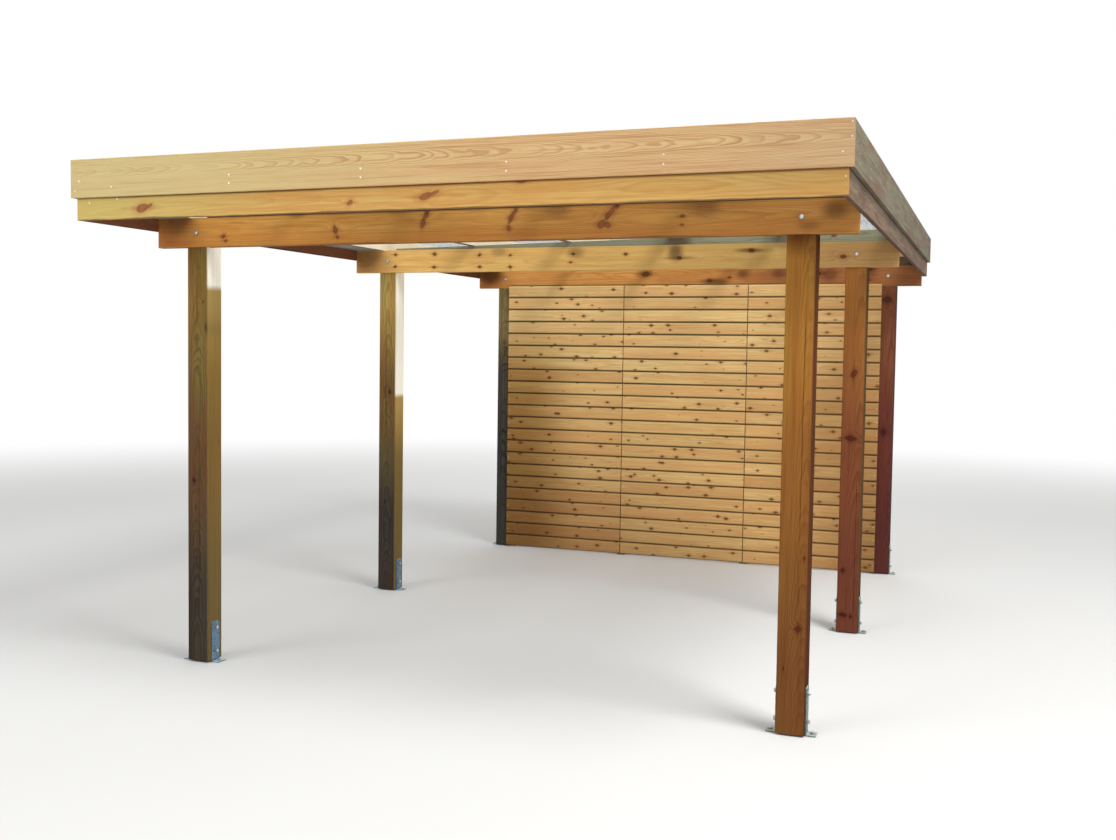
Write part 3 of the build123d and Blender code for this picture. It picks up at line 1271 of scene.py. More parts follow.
# The beams' colours are raised to stand in for the light under the clear roof: painted light, most of all in
# BEAM_MIDDLE. BEAM_FRONT's dark brown aged colour lays painted shade together with weathering.
BEAM_FRONT = Timber(paint(230, 176, 90), paint(156, 94, 44), paint(208, 130, 60), paint(114, 72, 38),
                    ring=0.0052, lines=0.5, ageing=0.12, knotty=0.0, mottle=0.4, rosy=0.45,
                    knot_dark=paint(70, 36, 30), knot_red=paint(118, 60, 46), knot_share=0.95, knot_soft=0.75)
BEAM_MIDDLE = Timber(paint(250, 206, 124), paint(190, 128, 66), paint(228, 168, 92), paint(150, 122, 72),
                     ring=0.0052, lines=0.5, ageing=0.12, knotty=0.0, mottle=0.3,
                     knot_dark=paint(52, 24, 14), knot_red=paint(104, 54, 32))
BEAM_REAR = Timber(paint(232, 170, 90), paint(164, 92, 46), paint(205, 128, 64), paint(157, 115, 71),
                   ring=0.0052, lines=0.5, ageing=0.25, knotty=0.0, mottle=0.5)
# The post timbers are one wood in lit and shaded copies: their colours are darkened as painted shade, most in
# POST_REAR_SHADED and POST_SHADED. Their turned colours go on the right faces: painted sunlight on POST_LEFT,
# painted shade on POST_RIGHT, POST_MIDDLE and POST_REAR_SHADED.
POST_LEFT = Timber(paint(173, 142, 68), paint(79, 61, 37), paint(165, 100, 54), paint(123, 132, 74),
                   ring=0.0042, lines=0.95, ageing=0.45, knotty=0.25, knot_size=0.007, swing=0.02, wave=0.006,
                   curl=0.004, flame=0.012, mottle=0.4, gloss=0.06, turned=paint(255, 252, 236),
                   knot_dark=paint(40, 28, 22), knot_red=paint(90, 62, 42))
POST_RIGHT = Timber(paint(163, 117, 52), paint(91, 55, 30), paint(148, 89, 41), paint(150, 110, 62),
                    ring=0.0034, lines=0.52, ageing=0.07, knotty=0.1, swing=0.012, wave=0.003,
                    curl=0.002, flame=0.008, gloss=0.0, turned=paint(72, 42, 33))
POST_MIDDLE = Timber(paint(153, 102, 52), paint(97, 57, 32), paint(139, 80, 43), paint(160, 112, 68),
                     ring=0.0048, lines=0.46, ageing=0.04, knotty=0.0, swing=0.02, wave=0.008, curl=0.002,
                     gloss=0.0, turned=paint(76, 66, 44), knot_dark=paint(58, 26, 20),
                     knot_red=paint(98, 46, 32), knot_share=0.85, knot_soft=0.3)
POST_REAR_SHADED = Timber(paint(128, 78, 51), paint(82, 43, 31), paint(116, 62, 44), paint(99, 69, 51),
                   ring=0.005, lines=0.7, ageing=0.2, knotty=0.0, swing=0.035, gloss=0.06,
                   turned=paint(52, 24, 20), knot_dark=paint(44, 22, 18), knot_red=paint(66, 32, 26),
                   knot_share=0.75, knot_soft=0.4)
POST_SHADED = Timber(paint(142, 124, 78), paint(69, 54, 34), paint(115, 93, 57), paint(115, 107, 68),
                     ring=0.0044, lines=0.95, ageing=0.3, knotty=0.1, knot_size=0.008, swing=0.02, wave=0.006,
                     curl=0.004, flame=0.012, gloss=0.06, turned=paint(120, 104, 78))
WEDGE = Timber(paint(150, 148, 122), paint(92, 84, 60), paint(132, 122, 92), paint(122, 130, 108),
               ring=0.005, lines=0.6, ageing=0.5, knotty=0.2, knot_size=0.008)
WEDGE_SHADED = Timber(paint(84, 72, 52), paint(50, 40, 26), paint(74, 60, 40), paint(66, 66, 50),
                      ring=0.005, lines=0.6, ageing=0.4, knotty=0.0)
# Pale, nearly white colours that stand in for sunlight through the clear roof: painted light.
PURLIN_SUNLIT = Timber(paint(250, 243, 224), paint(228, 200, 156), paint(243, 224, 188), paint(234, 228, 206),
                ring=0.005, lines=0.5, ageing=0.3, knotty=0.4, knot_size=0.008, turned=paint(98, 74, 50))
STUD = Timber(paint(170, 140, 96), paint(112, 82, 52), paint(150, 112, 70), paint(130, 122, 96),
              ring=0.005, lines=0.6, ageing=0.4, knotty=0.4, knot_size=0.009)
WALL_BOARD = Timber(paint(254, 224, 156), paint(186, 130, 74), paint(234, 176, 114), paint(194, 168, 116),
                    ring=0.0045, lines=0.55, ageing=0.22, knotty=0.75, knot_size=0.0105, spacing=(0.17, 0.06),
                    swing=0.03, mottle=0.4, knot_dark=paint(44, 22, 13), knot_red=paint(112, 62, 30))


@dataclass
class Posts:
    """Six square posts in pairs under the beams.

    Attributes:
        shaded: how the right face of a post looks that the sun doesn't reach.
        looks: wood of each post, and what else its Stick shows.
    """

    shaded: PaintedFace = PaintedFace(RIGHT, 0.0, 0.88)
    looks: dict[str, tuple[Timber, dict]] = field(default_factory=lambda: {
        "front_left": (POST_LEFT, dict(
            knots=(Knot(1.701, -1.428, 0.022, 0.016), Knot(0.93, -1.51, 0.012, 0.012)),
            crack=(-1.48, 0.3, 1.3), smudges=(StainAndShade(0.20, -1.548, 0.75, 0.050, 0.35),),
            turned=PaintedFace(RIGHT, 0.28, 0.95, 0.755, 0.795),
            tones=Tones((0.3, 1.15, 1.8), (0.16, 0.185, 0.52), (0.41, 0.31, 0.47), (0.64, 0.61, 0.63)))),
        "middle_left": (POST_LEFT, dict(
            knots=(Knot(1.32, -1.47, 0.014, 0.012),), crack=(-1.50, 0.9, 1.9),
            turned=PaintedFace(RIGHT, 0.34, 1.0, 0.15, 0.19),
            tones=Tones((0.45, 1.3, 2.0), (0.14, 0.16, 0.50), (0.47, 0.47, 0.62), (1.36, 1.34, 1.5)))),
        "rear_left": (POST_SHADED, dict(
            crack=(-1.485, 0.2, 1.2), turned=PaintedFace(RIGHT, 0.2, 0.0, 9.0, 10.0),
            tones=Tones((0.8, 1.4, 1.85), (0.20, 0.25, 0.54), (0.28, 0.31, 0.62)))),
        "front_right": (POST_RIGHT, dict(
            knots=(Knot(0.46, 1.515, 0.012, 0.014),), crack=(1.516, 0.7, 1.9),
            # Painted shade at the post's head, under the beam.
            smudges=(StainAndShade(2.120, 1.49, 0.12, 0.10, 0.7),),
            tones=Tones((0.3, 1.07, 1.66), (0.49, 0.42, 0.62), (0.70, 0.62, 0.72)))),
        "middle_right": (POST_MIDDLE, dict(
            knots=(Knot(1.498, 1.491, 0.026, 0.015, 0.6), Knot(1.127, 1.483, 0.013, 0.034, 0.1),
                   Knot(0.36, 1.46, 0.012, 0.012), Knot(0.106, 1.464, 0.010, 0.026),
                   Knot(0.098, 1.509, 0.010, 0.009)),
            crack=(1.524, -0.1, 1.0),
            tones=Tones((0.3, 1.05, 1.75), (0.46, 0.36, 0.72), (0.58, 0.48, 0.76)))),
        "rear_right": (POST_REAR_SHADED, dict(
            knots=(Knot(2.0, 1.49, 0.022, 0.034), Knot(1.04, 1.49, 0.022, 0.024, 0.3)),
            tones=Tones((0.3, 1.06, 1.75), (0.46, 0.37, 0.61), (0.60, 0.46, 0.66))))})

    def build(self) -> None:
        """Dresses the posts."""
        for count, (spot, (wood, traits)) in enumerate(self.looks.items()):
            dress_timber(f"post_{spot}", wood, Run.UPRIGHT, seed=3.7 + 5.3 * count,
                         heart=(0.0 if "left" in spot else 0.045, 0.078), taper=0.03,
                         **{"turned": self.shaded, **traits})


@dataclass
class Beams:
    """Three cross beams with their wedges, the purlins and the studs of the wall.

    Attributes:
        purlins: number of purlins.
        damp: stretch at the beams' left ends over which painted shade darkens them.
        wedge: what the middle wedge shows.
        looks: wood of each beam, and what else its Stick shows.
    """

    purlins: int = 6
    damp: tuple[float, float] = (-1.40, -1.66)
    wedge: dict[str, object] = field(default_factory=lambda: dict(
        knots=(Knot(1.36, 2.285, 0.012, 0.012),),
        # The two patches at the purlins are painted shade.
        smudges=(StainAndShade(0.46, 2.26, 0.10, 0.06, 0.7), StainAndShade(1.07, 2.27, 0.07, 0.06, 0.5))))
    looks: dict[str, tuple[Timber, dict]] = field(default_factory=lambda: {
        "front": (BEAM_FRONT, dict(
            heart=(0.02, 0.055),
            knots=(Knot(-1.331, 2.153, 0.010, 0.016, -0.5), Knot(-1.318, 2.130, 0.009, 0.009),
                   Knot(-0.70, 2.168, 0.011, 0.022, 0.2), Knot(-0.688, 2.136, 0.008, 0.012),
                   Knot(-0.222, 2.222, 0.012, 0.020, -0.5), Knot(-0.236, 2.188, 0.012, 0.026, -0.2),
                   Knot(0.224, 2.230, 0.010, 0.011), Knot(0.205, 2.203, 0.009, 0.036, -0.55),
                   Knot(0.190, 2.155, 0.010, 0.016, 0.2), Knot(0.696, 2.240, 0.015, 0.014),
                   Knot(0.668, 2.210, 0.012, 0.042, -0.66), Knot(0.628, 2.163, 0.017, 0.024, -0.8),
                   Knot(0.655, 2.160, 0.014, 0.017, 0.5), Knot(0.989, 2.186, 0.011, 0.007),
                   Knot(0.989, 2.150, 0.008, 0.006)),
            # The long lines along the top and bottom edges and the patch at the left end are painted shade;
            # the small patches at the knots are stains.
            smudges=(StainAndShade(0.0, 2.250, 4.0, 0.012, 0.6), StainAndShade(0.0, 2.100, 4.0, 0.005, 0.6),
                     StainAndShade(-1.60, 2.238, 0.13, 0.085, 0.6), StainAndShade(-0.912, 2.252, 0.07, 0.030, 0.4),
                     StainAndShade(-0.365, 2.250, 0.07, 0.030, 0.35), StainAndShade(0.428, 2.236, 0.08, 0.050, 0.45),
                     StainAndShade(1.086, 2.230, 0.09, 0.060, 0.5), StainAndShade(1.521, 2.138, 0.06, 0.030, 0.4),
                     StainAndShade(1.629, 2.197, 0.07, 0.045, 0.55), StainAndShade(0.700, 2.244, 0.018, 0.014, 0.75),
                     StainAndShade(0.226, 2.243, 0.014, 0.010, 0.6), StainAndShade(-0.222, 2.238, 0.016, 0.012, 0.6)),
            # The span darkens the beam towards its right end: painted shade.
            weather_and_shade_span=(-1.3, 1.5), tones=Tones((-1.05, -0.45, 0.15), PLAIN, (0.78, 0.79, 0.77)))),
        "middle": (BEAM_MIDDLE, dict(
            heart=(-0.015, 0.05),
            knots=(Knot(-1.432, 2.216, 0.010, 0.010), Knot(-1.432, 2.138, 0.010, 0.010),
                   Knot(-1.152, 2.214, 0.014, 0.012), Knot(-1.150, 2.133, 0.014, 0.012),
                   Knot(-0.834, 2.206, 0.011, 0.011), Knot(-0.833, 2.129, 0.011, 0.011),
                   Knot(-0.624, 2.203, 0.010, 0.010), Knot(-0.623, 2.126, 0.011, 0.011),
                   Knot(-0.205, 2.202, 0.012, 0.009), Knot(-0.223, 2.150, 0.011, 0.007),
                   Knot(0.130, 2.194, 0.013, 0.010), Knot(0.464, 2.167, 0.018, 0.012),
                   Knot(0.892, 2.205, 0.020, 0.014), Knot(1.420, 2.163, 0.020, 0.015)),
            # The patch at the left end and those under the purlins at -0.191, 0.44 and 1.07 are painted
            # shade.
            smudges=(StainAndShade(-1.64, 2.19, 0.14, 0.10, 0.4), StainAndShade(-0.70, 2.226, 0.07, 0.040, 0.35),
                     StainAndShade(-0.191, 2.212, 0.08, 0.050, 0.45), StainAndShade(0.44, 2.212, 0.06, 0.075, 0.7),
                     StainAndShade(0.884, 2.206, 0.11, 0.018, 0.6), StainAndShade(0.46, 2.166, 0.12, 0.014, 0.4),
                     StainAndShade(1.07, 2.236, 0.06, 0.030, 0.35)),
            weather_and_shade_span=(-1.2, 0.5),
            tones=Tones((0.3, 0.9, 1.4), PLAIN, (0.86, 0.88, 0.86), (0.65, 0.61, 0.68)))),
        "rear": (BEAM_REAR, dict(
            heart=(0.03, 0.06),
            knots=(Knot(-0.320, 2.204, 0.030, 0.022), Knot(0.186, 2.150, 0.020, 0.014),
                   Knot(0.339, 2.172, 0.014, 0.010), Knot(0.98, 2.196, 0.036, 0.020),
                   Knot(1.34, 2.146, 0.026, 0.018), Knot(1.36, 2.222, 0.024, 0.016)),
            # The patch at the left end is painted shade.
            smudges=(StainAndShade(-1.617, 2.20, 0.12, 0.10, 0.7), StainAndShade(-0.32, 2.204, 0.09, 0.040, 0.4),
                     StainAndShade(0.225, 2.143, 0.13, 0.030, 0.6), StainAndShade(0.441, 2.198, 0.08, 0.050, 0.6),
                     StainAndShade(0.71, 2.20, 0.08, 0.050, 0.5), StainAndShade(1.075, 2.188, 0.07, 0.070, 0.5),
                     StainAndShade(1.36, 2.205, 0.07, 0.060, 0.5), StainAndShade(1.68, 2.17, 0.26, 0.14, 0.35)),
            tones=Tones((-0.4, 0.2, 0.75), PLAIN, (0.84, 0.80, 0.82), (0.52, 0.43, 0.54))))})

    def build(self) -> None:
        """Dresses the beams, wedges, purlins and studs."""
        for count, (row, (wood, traits)) in enumerate(self.looks.items()):
            dress_timber(f"beam_{row}", wood, Run.ACROSS_FRONT, seed=41.3 + 7.9 * count,
                         damp=self.damp, **traits)
            wood, traits = (WEDGE, self.wedge) if row == "middle" else (WEDGE_SHADED, {})
            dress_timber(f"firring_{row}", wood, Run.ACROSS_FRONT, seed=71.1 + 3.3 * count,
                         heart=(0.01, 0.05), **traits)
        for number in range(1, self.purlins + 1):
            # Painted shade on each purlin's underside.
            dress_timber(f"purlin_{number}", PURLIN_SUNLIT, Run.FRONT_TO_BACK, seed=90.7 + 4.1 * number,
                         heart=(0.01, 0.04), turned=PaintedFace(DOWN, 0.0, 0.85))
        for count, side in enumerate(("left", "right")):
            dress_timber(f"wall_stud_{side}", STUD, Run.UPRIGHT, seed=130.9 + 2.3 * count, heart=(0.02, 0.05))


@dataclass
class Fascia:
    """Two rows of boards around the roof, the upper one lapping over the lower.

    Attributes:
        runs: how the board of each side lies.
        knots: knots of the lower front board.
        lap_shadow: painted shadow line under the lap.
        edge_shade_line: painted shade line along the lower edge.
    """

    runs: dict[str, Run] = field(default_factory=lambda: {
        "front": Run.ACROSS_FRONT, "rear": Run.ACROSS_FRONT, "left": Run.FRONT_TO_BACK,
        "right": Run.FRONT_TO_BACK})
    knots: tuple[Knot, ...] = (
        Knot(-1.375, 2.229, 0.033, 0.020, 0.25), Knot(-1.336, 2.240, 0.018, 0.008, 0.5),
        Knot(-0.306, 2.220, 0.015, 0.010, 0.6), Knot(0.050, 2.236, 0.030, 0.016, 0.3),
        Knot(0.088, 2.248, 0.024, 0.008, 0.4), Knot(0.469, 2.284, 0.024, 0.012))
    # Painted shadow under the lap, and painted shade along the lower edge.
    lap_shadow: StainAndShade = StainAndShade(0.0, 2.287, 4.0, 0.012, 0.8)
    edge_shade_line: StainAndShade = StainAndShade(0.0, 2.183, 4.0, 0.006, 0.7)

    def build(self) -> None:
        """Dresses the eight boards."""
        upper_only = {
            "front": dict(weather_and_shade_span=(0.7, -1.5),
                          tones=Tones((0.0, 1.1, 1.7), PLAIN, (0.95, 0.95, 1.0), (0.84, 0.87, 0.97)))}
        lower_only = {
            "front": dict(knots=self.knots, weather_and_shade_span=(-0.4, -1.6),
                          tones=Tones((0.0, 1.0, 1.65), PLAIN, (0.97, 0.98, 1.0), (0.85, 0.87, 0.92))),
            # Painted shade on the left lower board's inner face.
            "left": dict(turned=PaintedFace(RIGHT, 0.0, 0.75))}
        for count, (side, run) in enumerate(self.runs.items()):
            ends = run is Run.ACROSS_FRONT
            dress_timber(f"fascia_upper_{side}", FASCIA_UPPER if ends else FASCIA_SIDE, run,
                         seed=151.3 + 6.7 * count, heart=(0.026, 0.034) if ends else (0.018, 0.05),
                         taper=0.036, **upper_only.get(side, {}))
            dress_timber(f"fascia_lower_{side}", FASCIA_LOWER if ends else FASCIA_SIDE_LOWER, run,
                         seed=181.9 + 6.1 * count, heart=(-0.03, 0.08),
                         smudges=(self.lap_shadow, self.edge_shade_line), **lower_only.get(side, {}))


@dataclass
class Roof:
    """Clear ribbed sheets, the gutter at their low edge and the screws that hold them.

    Attributes:
        sheets: number of sheets, from front to back.
        ribs_a_sheet: number of ribs between the middles of two laps.
        crest_start: the first rib's middle, from front to back.
        crest_pitch: distance of the ribs.
        crest_count: number of ribs.
        screw_every: a screw sits on every so many ribs.
        purlins: places of the purlins' middles across the roof.
        rib_height: height of a rib with the sheet's thickness.
        lap_rise: how much higher a rib is where two sheets lap.
        bedding: how deep a screw's washer beds into the sheet.
        screw: radius and height of a screw's head, and of its washer.
    """

    sheets: int = 5
    ribs_a_sheet: int = 14
    crest_start: float = -2.45
    crest_pitch: float = 0.07
    crest_count: int = 71
    screw_every: int = 3
    purlins: tuple[float, ...] = (-1.5375, -0.8905, -0.2435, 0.4035, 1.0505, 1.6975)
    rib_height: float = 0.020
    lap_rise: float = 0.0023
    bedding: float = 0.0004
    screw: Sizes = (0.0055, 0.005, 0.0095, 0.0025)

    def build(self, screws: FastenerTree, zinc: bpy.types.Material) -> None:
        """Dresses sheets and gutter and puts the screws in.

        Args:
            screws: tree of the screws.
            zinc: finish of the screws.
        """
        sheet = ClearSheet().material("clear_ribbed_sheet")
        for number in range(1, self.sheets + 1):
            dress(f"roof_sheet_{number}", sheet)
        dress("gutter", GutterPlastic().material("grey_gutter_plastic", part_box("gutter")[0].z))
        low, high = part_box(f"roof_sheet_{self.sheets}")
        slope = (high.z - low.z - self.rib_height) / (high.x - low.x)
        seats = []
        for x in self.purlins:
            top = high.z - (high.x - x) * slope
            for rib in range(1, self.crest_count - 1, self.screw_every):
                lapped = self.lap_rise if rib % self.ribs_a_sheet == 0 else 0.0
                place = (x, self.crest_start + rib * self.crest_pitch, top + lapped - self.bedding)
                seats.append(Seat(place, (-slope, 0.0, 1.0)))
        screws.place("sheet_screws", seats, self.screw, zinc, seed=11)


@dataclass
class BackWall:
    """Tongued boards laid level over the rear posts and the studs.

    Attributes:
        panels: the panels from left to right.
        boards: boards in a panel.
        groove: open gap that shows between two boards.
        thickness: thickness of a board.
        arris: size of the rounded edge.
        joint: how far a board stops short of its panel's end.
        slip: how far at most a board stands back from the others.
        screw_lines: places of the upright lines of screws.
        screw_place: height of a screw in its board, as a share of the board's pitch.
        screw_stray: how far a screw strays at most, across and up.
        screw_proud: how far a screw's seat stands before the boards' face.
        screw: radius and height of a screw's head, written twice as it has no washer.
    """

    panels: tuple[str, ...] = ("left", "middle", "right")
    boards: int = 22
    groove: float = 0.010
    thickness: float = 0.0205
    arris: float = 0.003
    joint: float = 0.002
    slip: float = 0.0005
    screw_lines: tuple[float, ...] = (-1.441, -0.503, -0.467, 0.467, 0.503, 1.441)
    screw_place: float = 0.46
    screw_stray: tuple[float, float] = (0.003, 0.006)
    screw_proud: float = 0.0003
    screw: Sizes = (0.0026, 0.0005, 0.0026, 0.0005)

    def _tree(self) -> Growth:
        """The tree that stacks the boards of one panel.

        Returns:
            The tree.
        """
        grow = Growth("stacked_boards")
        corner = grow.entry("Lowest Corner", "NodeSocketVector")
        width, pitch = grow.entry("Panel Width"), grow.entry("Board Pitch")
        thickness, groove, arris = grow.entry("Board Thickness"), grow.entry("Groove"), grow.entry("Arris")
        count, seed = grow.entry("Board Count", "NodeSocketInt"), grow.entry("Seed", "NodeSocketInt")
        slip = grow.entry("Slip")
        length = grow.node("GeometryNodeCurvePrimitiveLine", {},
                           {"Start": (0.0, 0.0, 0.0), "End": grow.vector(width, 0.0, 0.0)})

        def drawn(thick: Wire, tall: Wire, radius: Optional[Wire] = None) -> Wire:
            """Draws a section along the board.

            Args:
                thick: thickness of the section.
                tall: height of the section.
                radius: radius of its corners, if they are rounded.

            Returns:
                The drawn shape, closed at both ends.
            """
            face = grow.node("GeometryNodeCurvePrimitiveQuadrilateral", {"mode": "RECTANGLE"},
                             {"Width": thick, "Height": tall})
            if radius is not None:
                face = grow.node("GeometryNodeFilletCurve", {"mode": "POLY"},
                                 {"Curve": face, "Count": 3, "Radius": radius})
            return grow.node("GeometryNodeCurveToMesh", {},
                             {"Curve": length, "Profile Curve": face, "Fill Caps": True})

        board = grow.move(drawn(thickness, pitch - groove, arris), y=thickness / 2, z=(pitch - groove) / 2)
        tongue = grow.move(drawn(thickness * 0.4, groove * 2.6), y=thickness * 0.66,
                           z=pitch - groove * 1.3)
        section = grow.node("GeometryNodeJoinGeometry", {}, {0: [tongue, board]})
        line = grow.node("GeometryNodeMeshLine", {"mode": "OFFSET"},
                         {"Count": count, "Start Location": corner, "Offset": grow.vector(0.0, 0.0, pitch)})
        line = grow.store(line, "board", grow.chance(0.0, 1.0, seed))
        back = grow.vector(0.0, grow.chance(0.0, slip, seed + 7), 0.0)
        line = grow.node("GeometryNodeSetPosition", {}, {0: line, "Offset": back})
        grow.end(grow.node("GeometryNodeInstanceOnPoints", {}, {"Points": line, "Instance": section}))
        return grow

    def build(self, screws: FastenerTree, zinc: bpy.types.Material) -> None:
        """Stacks the boards of the three panels and screws them on.

        Args:
            screws: tree of the screws.
            zinc: finish of the screws.
        """
        grow = self._tree()
        low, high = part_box("wall_panel_left")
        pitch = (high.z - low.z) / self.boards
        stick = Stick(Run.ACROSS_FRONT, tuple(low), tuple(high), 211.7, heart=(0.0, 0.035))
        finish = BoardDye("timber_wall_boards", WALL_BOARD, stick, pitch).build()
        for count, panel in enumerate(self.panels):
            low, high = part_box(f"wall_panel_{panel}")
            empty = bpy.data.meshes.new(f"wall_boards_{panel}")
            grow.build(f"wall_boards_{panel}", empty,
                       {"Lowest Corner": (low.x + self.joint, low.y, low.z),
                        "Panel Width": high.x - low.x - 2 * self.joint, "Board Pitch": pitch,
                        "Board Thickness": self.thickness, "Groove": self.groove, "Arris": self.arris,
                        "Board Count": self.boards, "Slip": self.slip, "Seed": 5 + count, "Finish": finish},
                       "wall_boards", (f"wall_panel_{panel}",))
        chance = random.Random(17)
        aside, up = self.screw_stray
        seats = []
        for x in self.screw_lines:
            for number in range(self.boards):
                across = x + chance.uniform(-aside, aside)
                height = low.z + pitch * (number + self.screw_place) + chance.uniform(-up, up)
                seats.append(Seat((across, low.y - self.screw_proud, height), FRONTWARD))
        screws.place("wall_screws", seats, self.screw, zinc, seed=13)


@dataclass
class Fixings:
    """Bolts of the frame, the brackets with their bolts, and the screws of the fascia.

    Attributes:
        rows: the rows of posts.
        bolt_height: height of the bolts through beam and post.
        strap_heights: heights of the two bolts in a bracket's strap.
        anchor_from_post: distance of an anchor from the post's face.
        foot_gauge: thickness of the bracket's steel.
        column_heights: heights of the two screws of a column in an upper board.
        columns: places of the columns across the front and the rear.
        side_columns: places of the columns along the two sides.
        upper_ends: single screws near the ends of the upper front and rear board.
        lower_ends: single screws near the ends of the lower front and rear board.
        beam_bolt: radius and height of its head, and of its washer.
        post_nut: the same of the nut on a post's back.
        strap_bolt: the same of the bolts in a bracket's strap.
        anchor_bolt: the same of a ground anchor.
        fascia_screw: radius and height of its head, written twice as it has no washer.
    """

    rows: tuple[str, ...] = ("front", "middle", "rear")
    bolt_height: float = 2.1725
    strap_heights: tuple[float, float] = (0.055, 0.175)
    anchor_from_post: float = 0.030
    foot_gauge: float = 0.005
    column_heights: tuple[float, float] = (2.3585, 2.3225)
    columns: tuple[float, ...] = (-0.895, -0.2435, 0.413, 1.057)
    side_columns: tuple[float, ...] = (-2.30, -1.895, -1.0, 0.155, 1.2, 2.2125)
    upper_ends: tuple[tuple[float, float], ...] = (
        (-1.530, 2.329), (-1.713, 2.361), (-1.737, 2.317), (1.719, 2.339), (1.751, 2.393), (1.751, 2.445))
    lower_ends: tuple[tuple[float, float], ...] = ((-1.513, 2.276), (-1.670, 2.261), (1.730, 2.254))
    beam_bolt: Sizes = (0.0098, 0.0065, 0.0125, 0.0025)
    post_nut: Sizes = (0.0098, 0.0085, 0.0150, 0.0025)
    strap_bolt: Sizes = (0.0095, 0.0105, 0.0125, 0.0025)
    anchor_bolt: Sizes = (0.0092, 0.0075, 0.0115, 0.0020)
    fascia_screw: Sizes = (0.0036, 0.0005, 0.0036, 0.0005)

    def build(self, flat: FastenerTree, zinc: bpy.types.Material) -> None:
        """Dresses the brackets and places every bolt and screw.

        Args:
            flat: tree of the small flat screws.
            zinc: finish of bolts and screws.
        """
        # The right brackets take a darker, greener copy of the metal: painted shade.
        shaded = Galvanised(paint(134, 152, 142), paint(62, 78, 74))
        steel = {side: metal.material(f"galvanised_bracket_{side}")
                 for side, metal in (("left", Galvanised()), ("right", shaded))}
        heads, nuts, straps, anchors = [], [], [], []
        for row in self.rows:
            beam_low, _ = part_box(f"beam_{row}")
            for side in ("left", "right"):
                dress(f"bracket_{row}_{side}", steel[side])
                low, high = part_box(f"post_{row}_{side}")
                x, y = (low.x + high.x) / 2, (low.y + high.y) / 2
                heads.append(Seat((x, beam_low.y, self.bolt_height), FRONTWARD))
                nuts.append(Seat((x, high.y, self.bolt_height), BACKWARD))
                for face, way in ((low.x, -1.0), (high.x, 1.0)):
                    straps += [Seat((face + way * self.foot_gauge, y, height), (way, 0.0, 0.0))
                               for height in self.strap_heights]
                    anchors.append(Seat((face + way * self.anchor_from_post, y, self.foot_gauge), UP))
        dome = FastenerTree("domed_bolt", HeadShape.DOME)
        hexagon = FastenerTree("hexagon_bolt", HeadShape.HEXAGON)
        dome.place("beam_bolts", heads, self.beam_bolt, zinc, seed=2)
        hexagon.place("post_nuts", nuts, self.post_nut, zinc, seed=3)
        hexagon.place("strap_bolts", straps, self.strap_bolt, zinc, seed=4)
        hexagon.place("anchor_bolts", anchors, self.anchor_bolt, zinc, seed=5)
        flat.place("fascia_screws", self._fascia_seats(), self.fascia_screw, zinc, seed=6)

    def _fascia_seats(self) -> list[Seat]:
        """Where the fascia's screws sit.

        Returns:
            The seats in the four upper boards and in the lower boards at front and rear.
        """
        seats = []
        for side, corner, facing in (("front", 0, FRONTWARD), ("rear", 1, BACKWARD)):
            upper, lower = (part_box(f"fascia_{row}_{side}")[corner].y for row in ("upper", "lower"))
            places = [(x, z) for x in self.columns for z in self.column_heights]
            seats += [Seat((x, upper, z), facing) for x, z in (*places, *self.upper_ends)]
            seats += [Seat((x, lower, z), facing) for x, z in self.lower_ends]
        for side, corner, way in (("left", 0, -1.0), ("right", 1, 1.0)):
            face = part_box(f"fascia_upper_{side}")[corner].x
            seats += [Seat((face, y, z), (way, 0.0, 0.0)) for y in self.side_columns
                      for z in self.column_heights]
        return seats


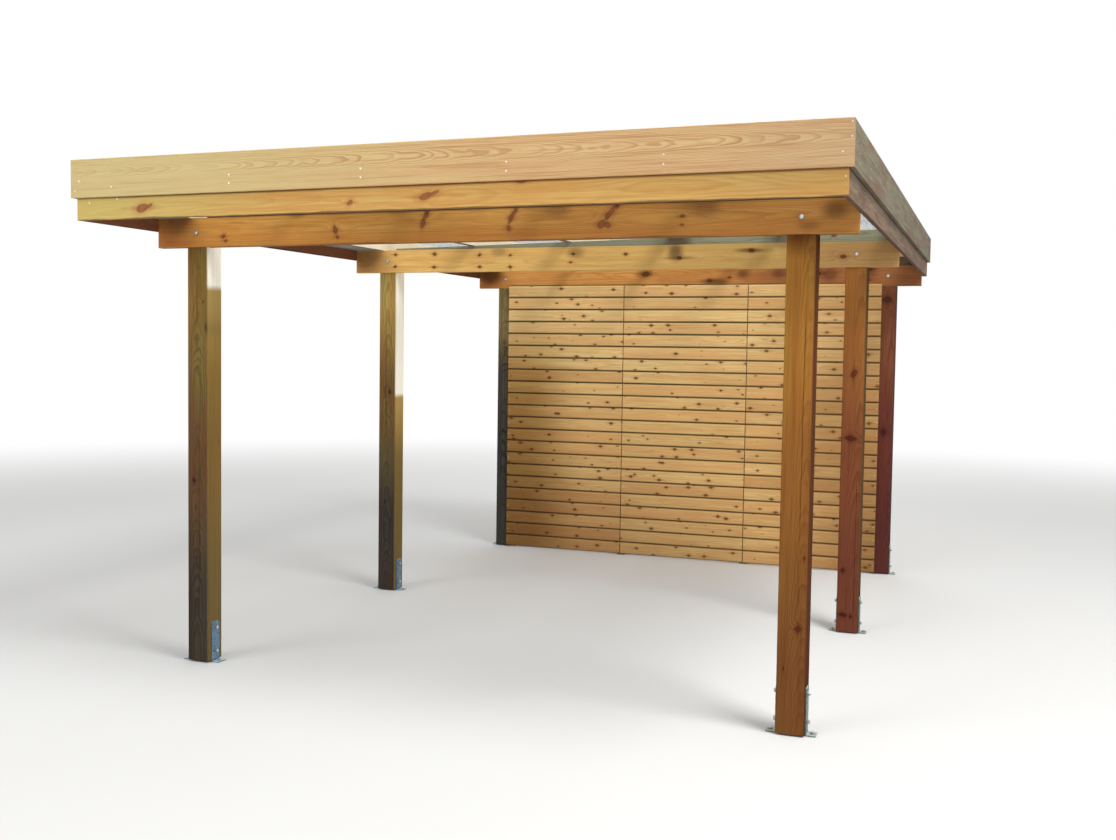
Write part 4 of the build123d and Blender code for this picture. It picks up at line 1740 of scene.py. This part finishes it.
@dataclass
class Studio:
    """Pale floor, soft light and the camera.

    Attributes:
        reach: half the size of the floor.
        fade: distances from the carport between which the floor turns white.
        ground: colour of the floor near the carport.
        ambient: strength of the even light.
        picture_width: width of the picture in pixels.
        sensor_width: width of the camera's sensor in millimetres.
        focal: focal length in pixels.
        tilt: how far the camera looks down, radians.
        roll: how far it leans to one side, radians.
        heading: how far it looks to the left, radians.
        eye: where it stands.
        shift: how far the picture's middle is moved, pixels.
    """

    reach: float = 60.0
    fade: tuple[float, float] = (6.0, 15.0)
    ground: tuple[float, ...] = (0.66, 0.66, 0.65, 1.0)
    ambient: float = 0.66
    picture_width: int = 1116
    sensor_width: float = 36.0
    focal: float = 1226.425
    tilt: float = 0.05353
    roll: float = 0.0128
    heading: float = 0.37341
    eye: Point = (2.274466, -7.063269, 1.61856)
    shift: tuple[float, float] = (37.918, -6.275)

    def build(self) -> None:
        """Sets up floor, world, lamps and camera."""
        self._floor()
        self._world()
        self._lamp("key", at=(-5.0, -9.5, 5.5), aim=(0.0, -0.8, 1.3), power=300.0, size=5.0)
        self._lamp("fill", at=(7.5, -6.5, 3.0), aim=(0.0, 0.0, 1.2), power=160.0, size=4.0)
        self._lamp("sun_side", at=(5.0, -3.5, 9.0), aim=(-0.3, 0.0, 1.6), power=780.0, size=3.0)
        self._lamp("rear", at=(-2.0, 10.0, 6.0), aim=(0.0, 0.0, 1.0), power=200.0, size=5.0)
        self._camera()
        bpy.context.scene.view_settings.view_transform = "Standard"

    def _floor(self) -> None:
        """A level floor that turns into the white background far away."""
        mesh = bpy.data.meshes.new("studio_floor")
        corners = [(x * self.reach, y * self.reach, 0) for x, y in ((-1, -1), (1, -1), (1, 1), (-1, 1))]
        mesh.from_pydata(corners, [], [(0, 1, 2, 3)])
        floor = bpy.data.objects.new("studio_floor", mesh)
        bpy.context.scene.collection.objects.link(floor)
        dye = Dye("studio_floor")
        x, y, _ = dye.place()
        away = dye.length(dye.vector(x, y, 0.0)).rise(*self.fade)
        matt = dye.node("ShaderNodeBsdfDiffuse", {}, {"Color": self.ground})
        white = dye.node("ShaderNodeEmission", {}, {"Color": WHITE, "Strength": 1.0})
        both = dye.node("ShaderNodeMixShader", {}, {0: away * self._seen(dye), 1: matt, 2: white})
        dye.close("ShaderNodeOutputMaterial", "Surface", both)
        mesh.materials.append(dye.material)

    @staticmethod
    def _seen(graph: Graph) -> Wire:
        """1 for rays that look at the background, directly, in a reflection or through a sheet."""
        path = graph.node("ShaderNodeLightPath", {}, {}, "Is Camera Ray")
        return (path + path.output("Is Glossy Ray") + path.output("Is Transmission Ray")).lesser(1.0)

    def _world(self) -> None:
        """White to look at, and an even light on everything."""
        world = bpy.data.worlds.new("studio")
        world.use_nodes = True
        bpy.context.scene.world = world
        graph = Graph(world.node_tree)
        graph.tree.nodes.clear()
        strength = self._seen(graph) * (1.0 - self.ambient) + self.ambient
        light = graph.node("ShaderNodeBackground", {}, {"Color": WHITE, "Strength": strength})
        graph.close("ShaderNodeOutputWorld", "Surface", light)

    def _lamp(self, name: str, at: Point, aim: Point, power: float, size: float) -> None:
        """Adds a soft square lamp.

        Args:
            name: name of the lamp.
            at: its place.
            aim: the point it looks at.
            power: its power in watts.
            size: length of its side in metres.
        """
        lamp = bpy.data.lights.new(name, "AREA")
        lamp.energy, lamp.size = power, size
        holder = bpy.data.objects.new(name, lamp)
        holder.location = at
        holder.rotation_euler = (Vector(aim) - Vector(at)).to_track_quat("-Z", "Y").to_euler()
        bpy.context.scene.collection.objects.link(holder)

    def _camera(self) -> None:
        """The camera at the photograph's viewing angle."""
        lens = bpy.data.cameras.new("camera")
        lens.sensor_width = self.sensor_width
        lens.lens = self.focal * self.sensor_width / self.picture_width
        lens.shift_x, lens.shift_y = (pixels / self.picture_width for pixels in self.shift)
        lens.clip_end = 300.0
        holder = bpy.data.objects.new("camera", lens)
        bpy.context.scene.collection.objects.link(holder)
        ahead = Vector((-math.sin(self.heading), math.cos(self.heading), 0.0))
        right = Vector((math.cos(self.heading), math.sin(self.heading), 0.0))
        up = Vector(UP)
        look = ahead * math.cos(self.tilt) - up * math.sin(self.tilt)
        crown = up * math.cos(self.tilt) + ahead * math.sin(self.tilt)
        side = right * math.cos(self.roll) + crown * math.sin(self.roll)
        top = crown * math.cos(self.roll) - right * math.sin(self.roll)
        turn = Matrix((side, top, -look)).transposed()
        holder.matrix_world = Matrix.Translation(Vector(self.eye)) @ turn.to_4x4()
        bpy.context.scene.camera = holder


def main() -> None:
    """Builds the sub-assemblies in order."""
    logging.basicConfig(level=logging.INFO, format="%(name)s: %(message)s")
    zinc = Fastener().material("bright_zinc")
    flat = FastenerTree("flat_screw", HeadShape.FLAT, washer=False)
    sheet_screw = FastenerTree("sheet_screw", HeadShape.HEXAGON)
    Posts().build()
    Beams().build()
    Fascia().build()
    Roof().build(sheet_screw, zinc)
    BackWall().build(flat, zinc)
    Fixings().build(flat, zinc)
    Studio().build()


if __name__ == "__main__":
    main()
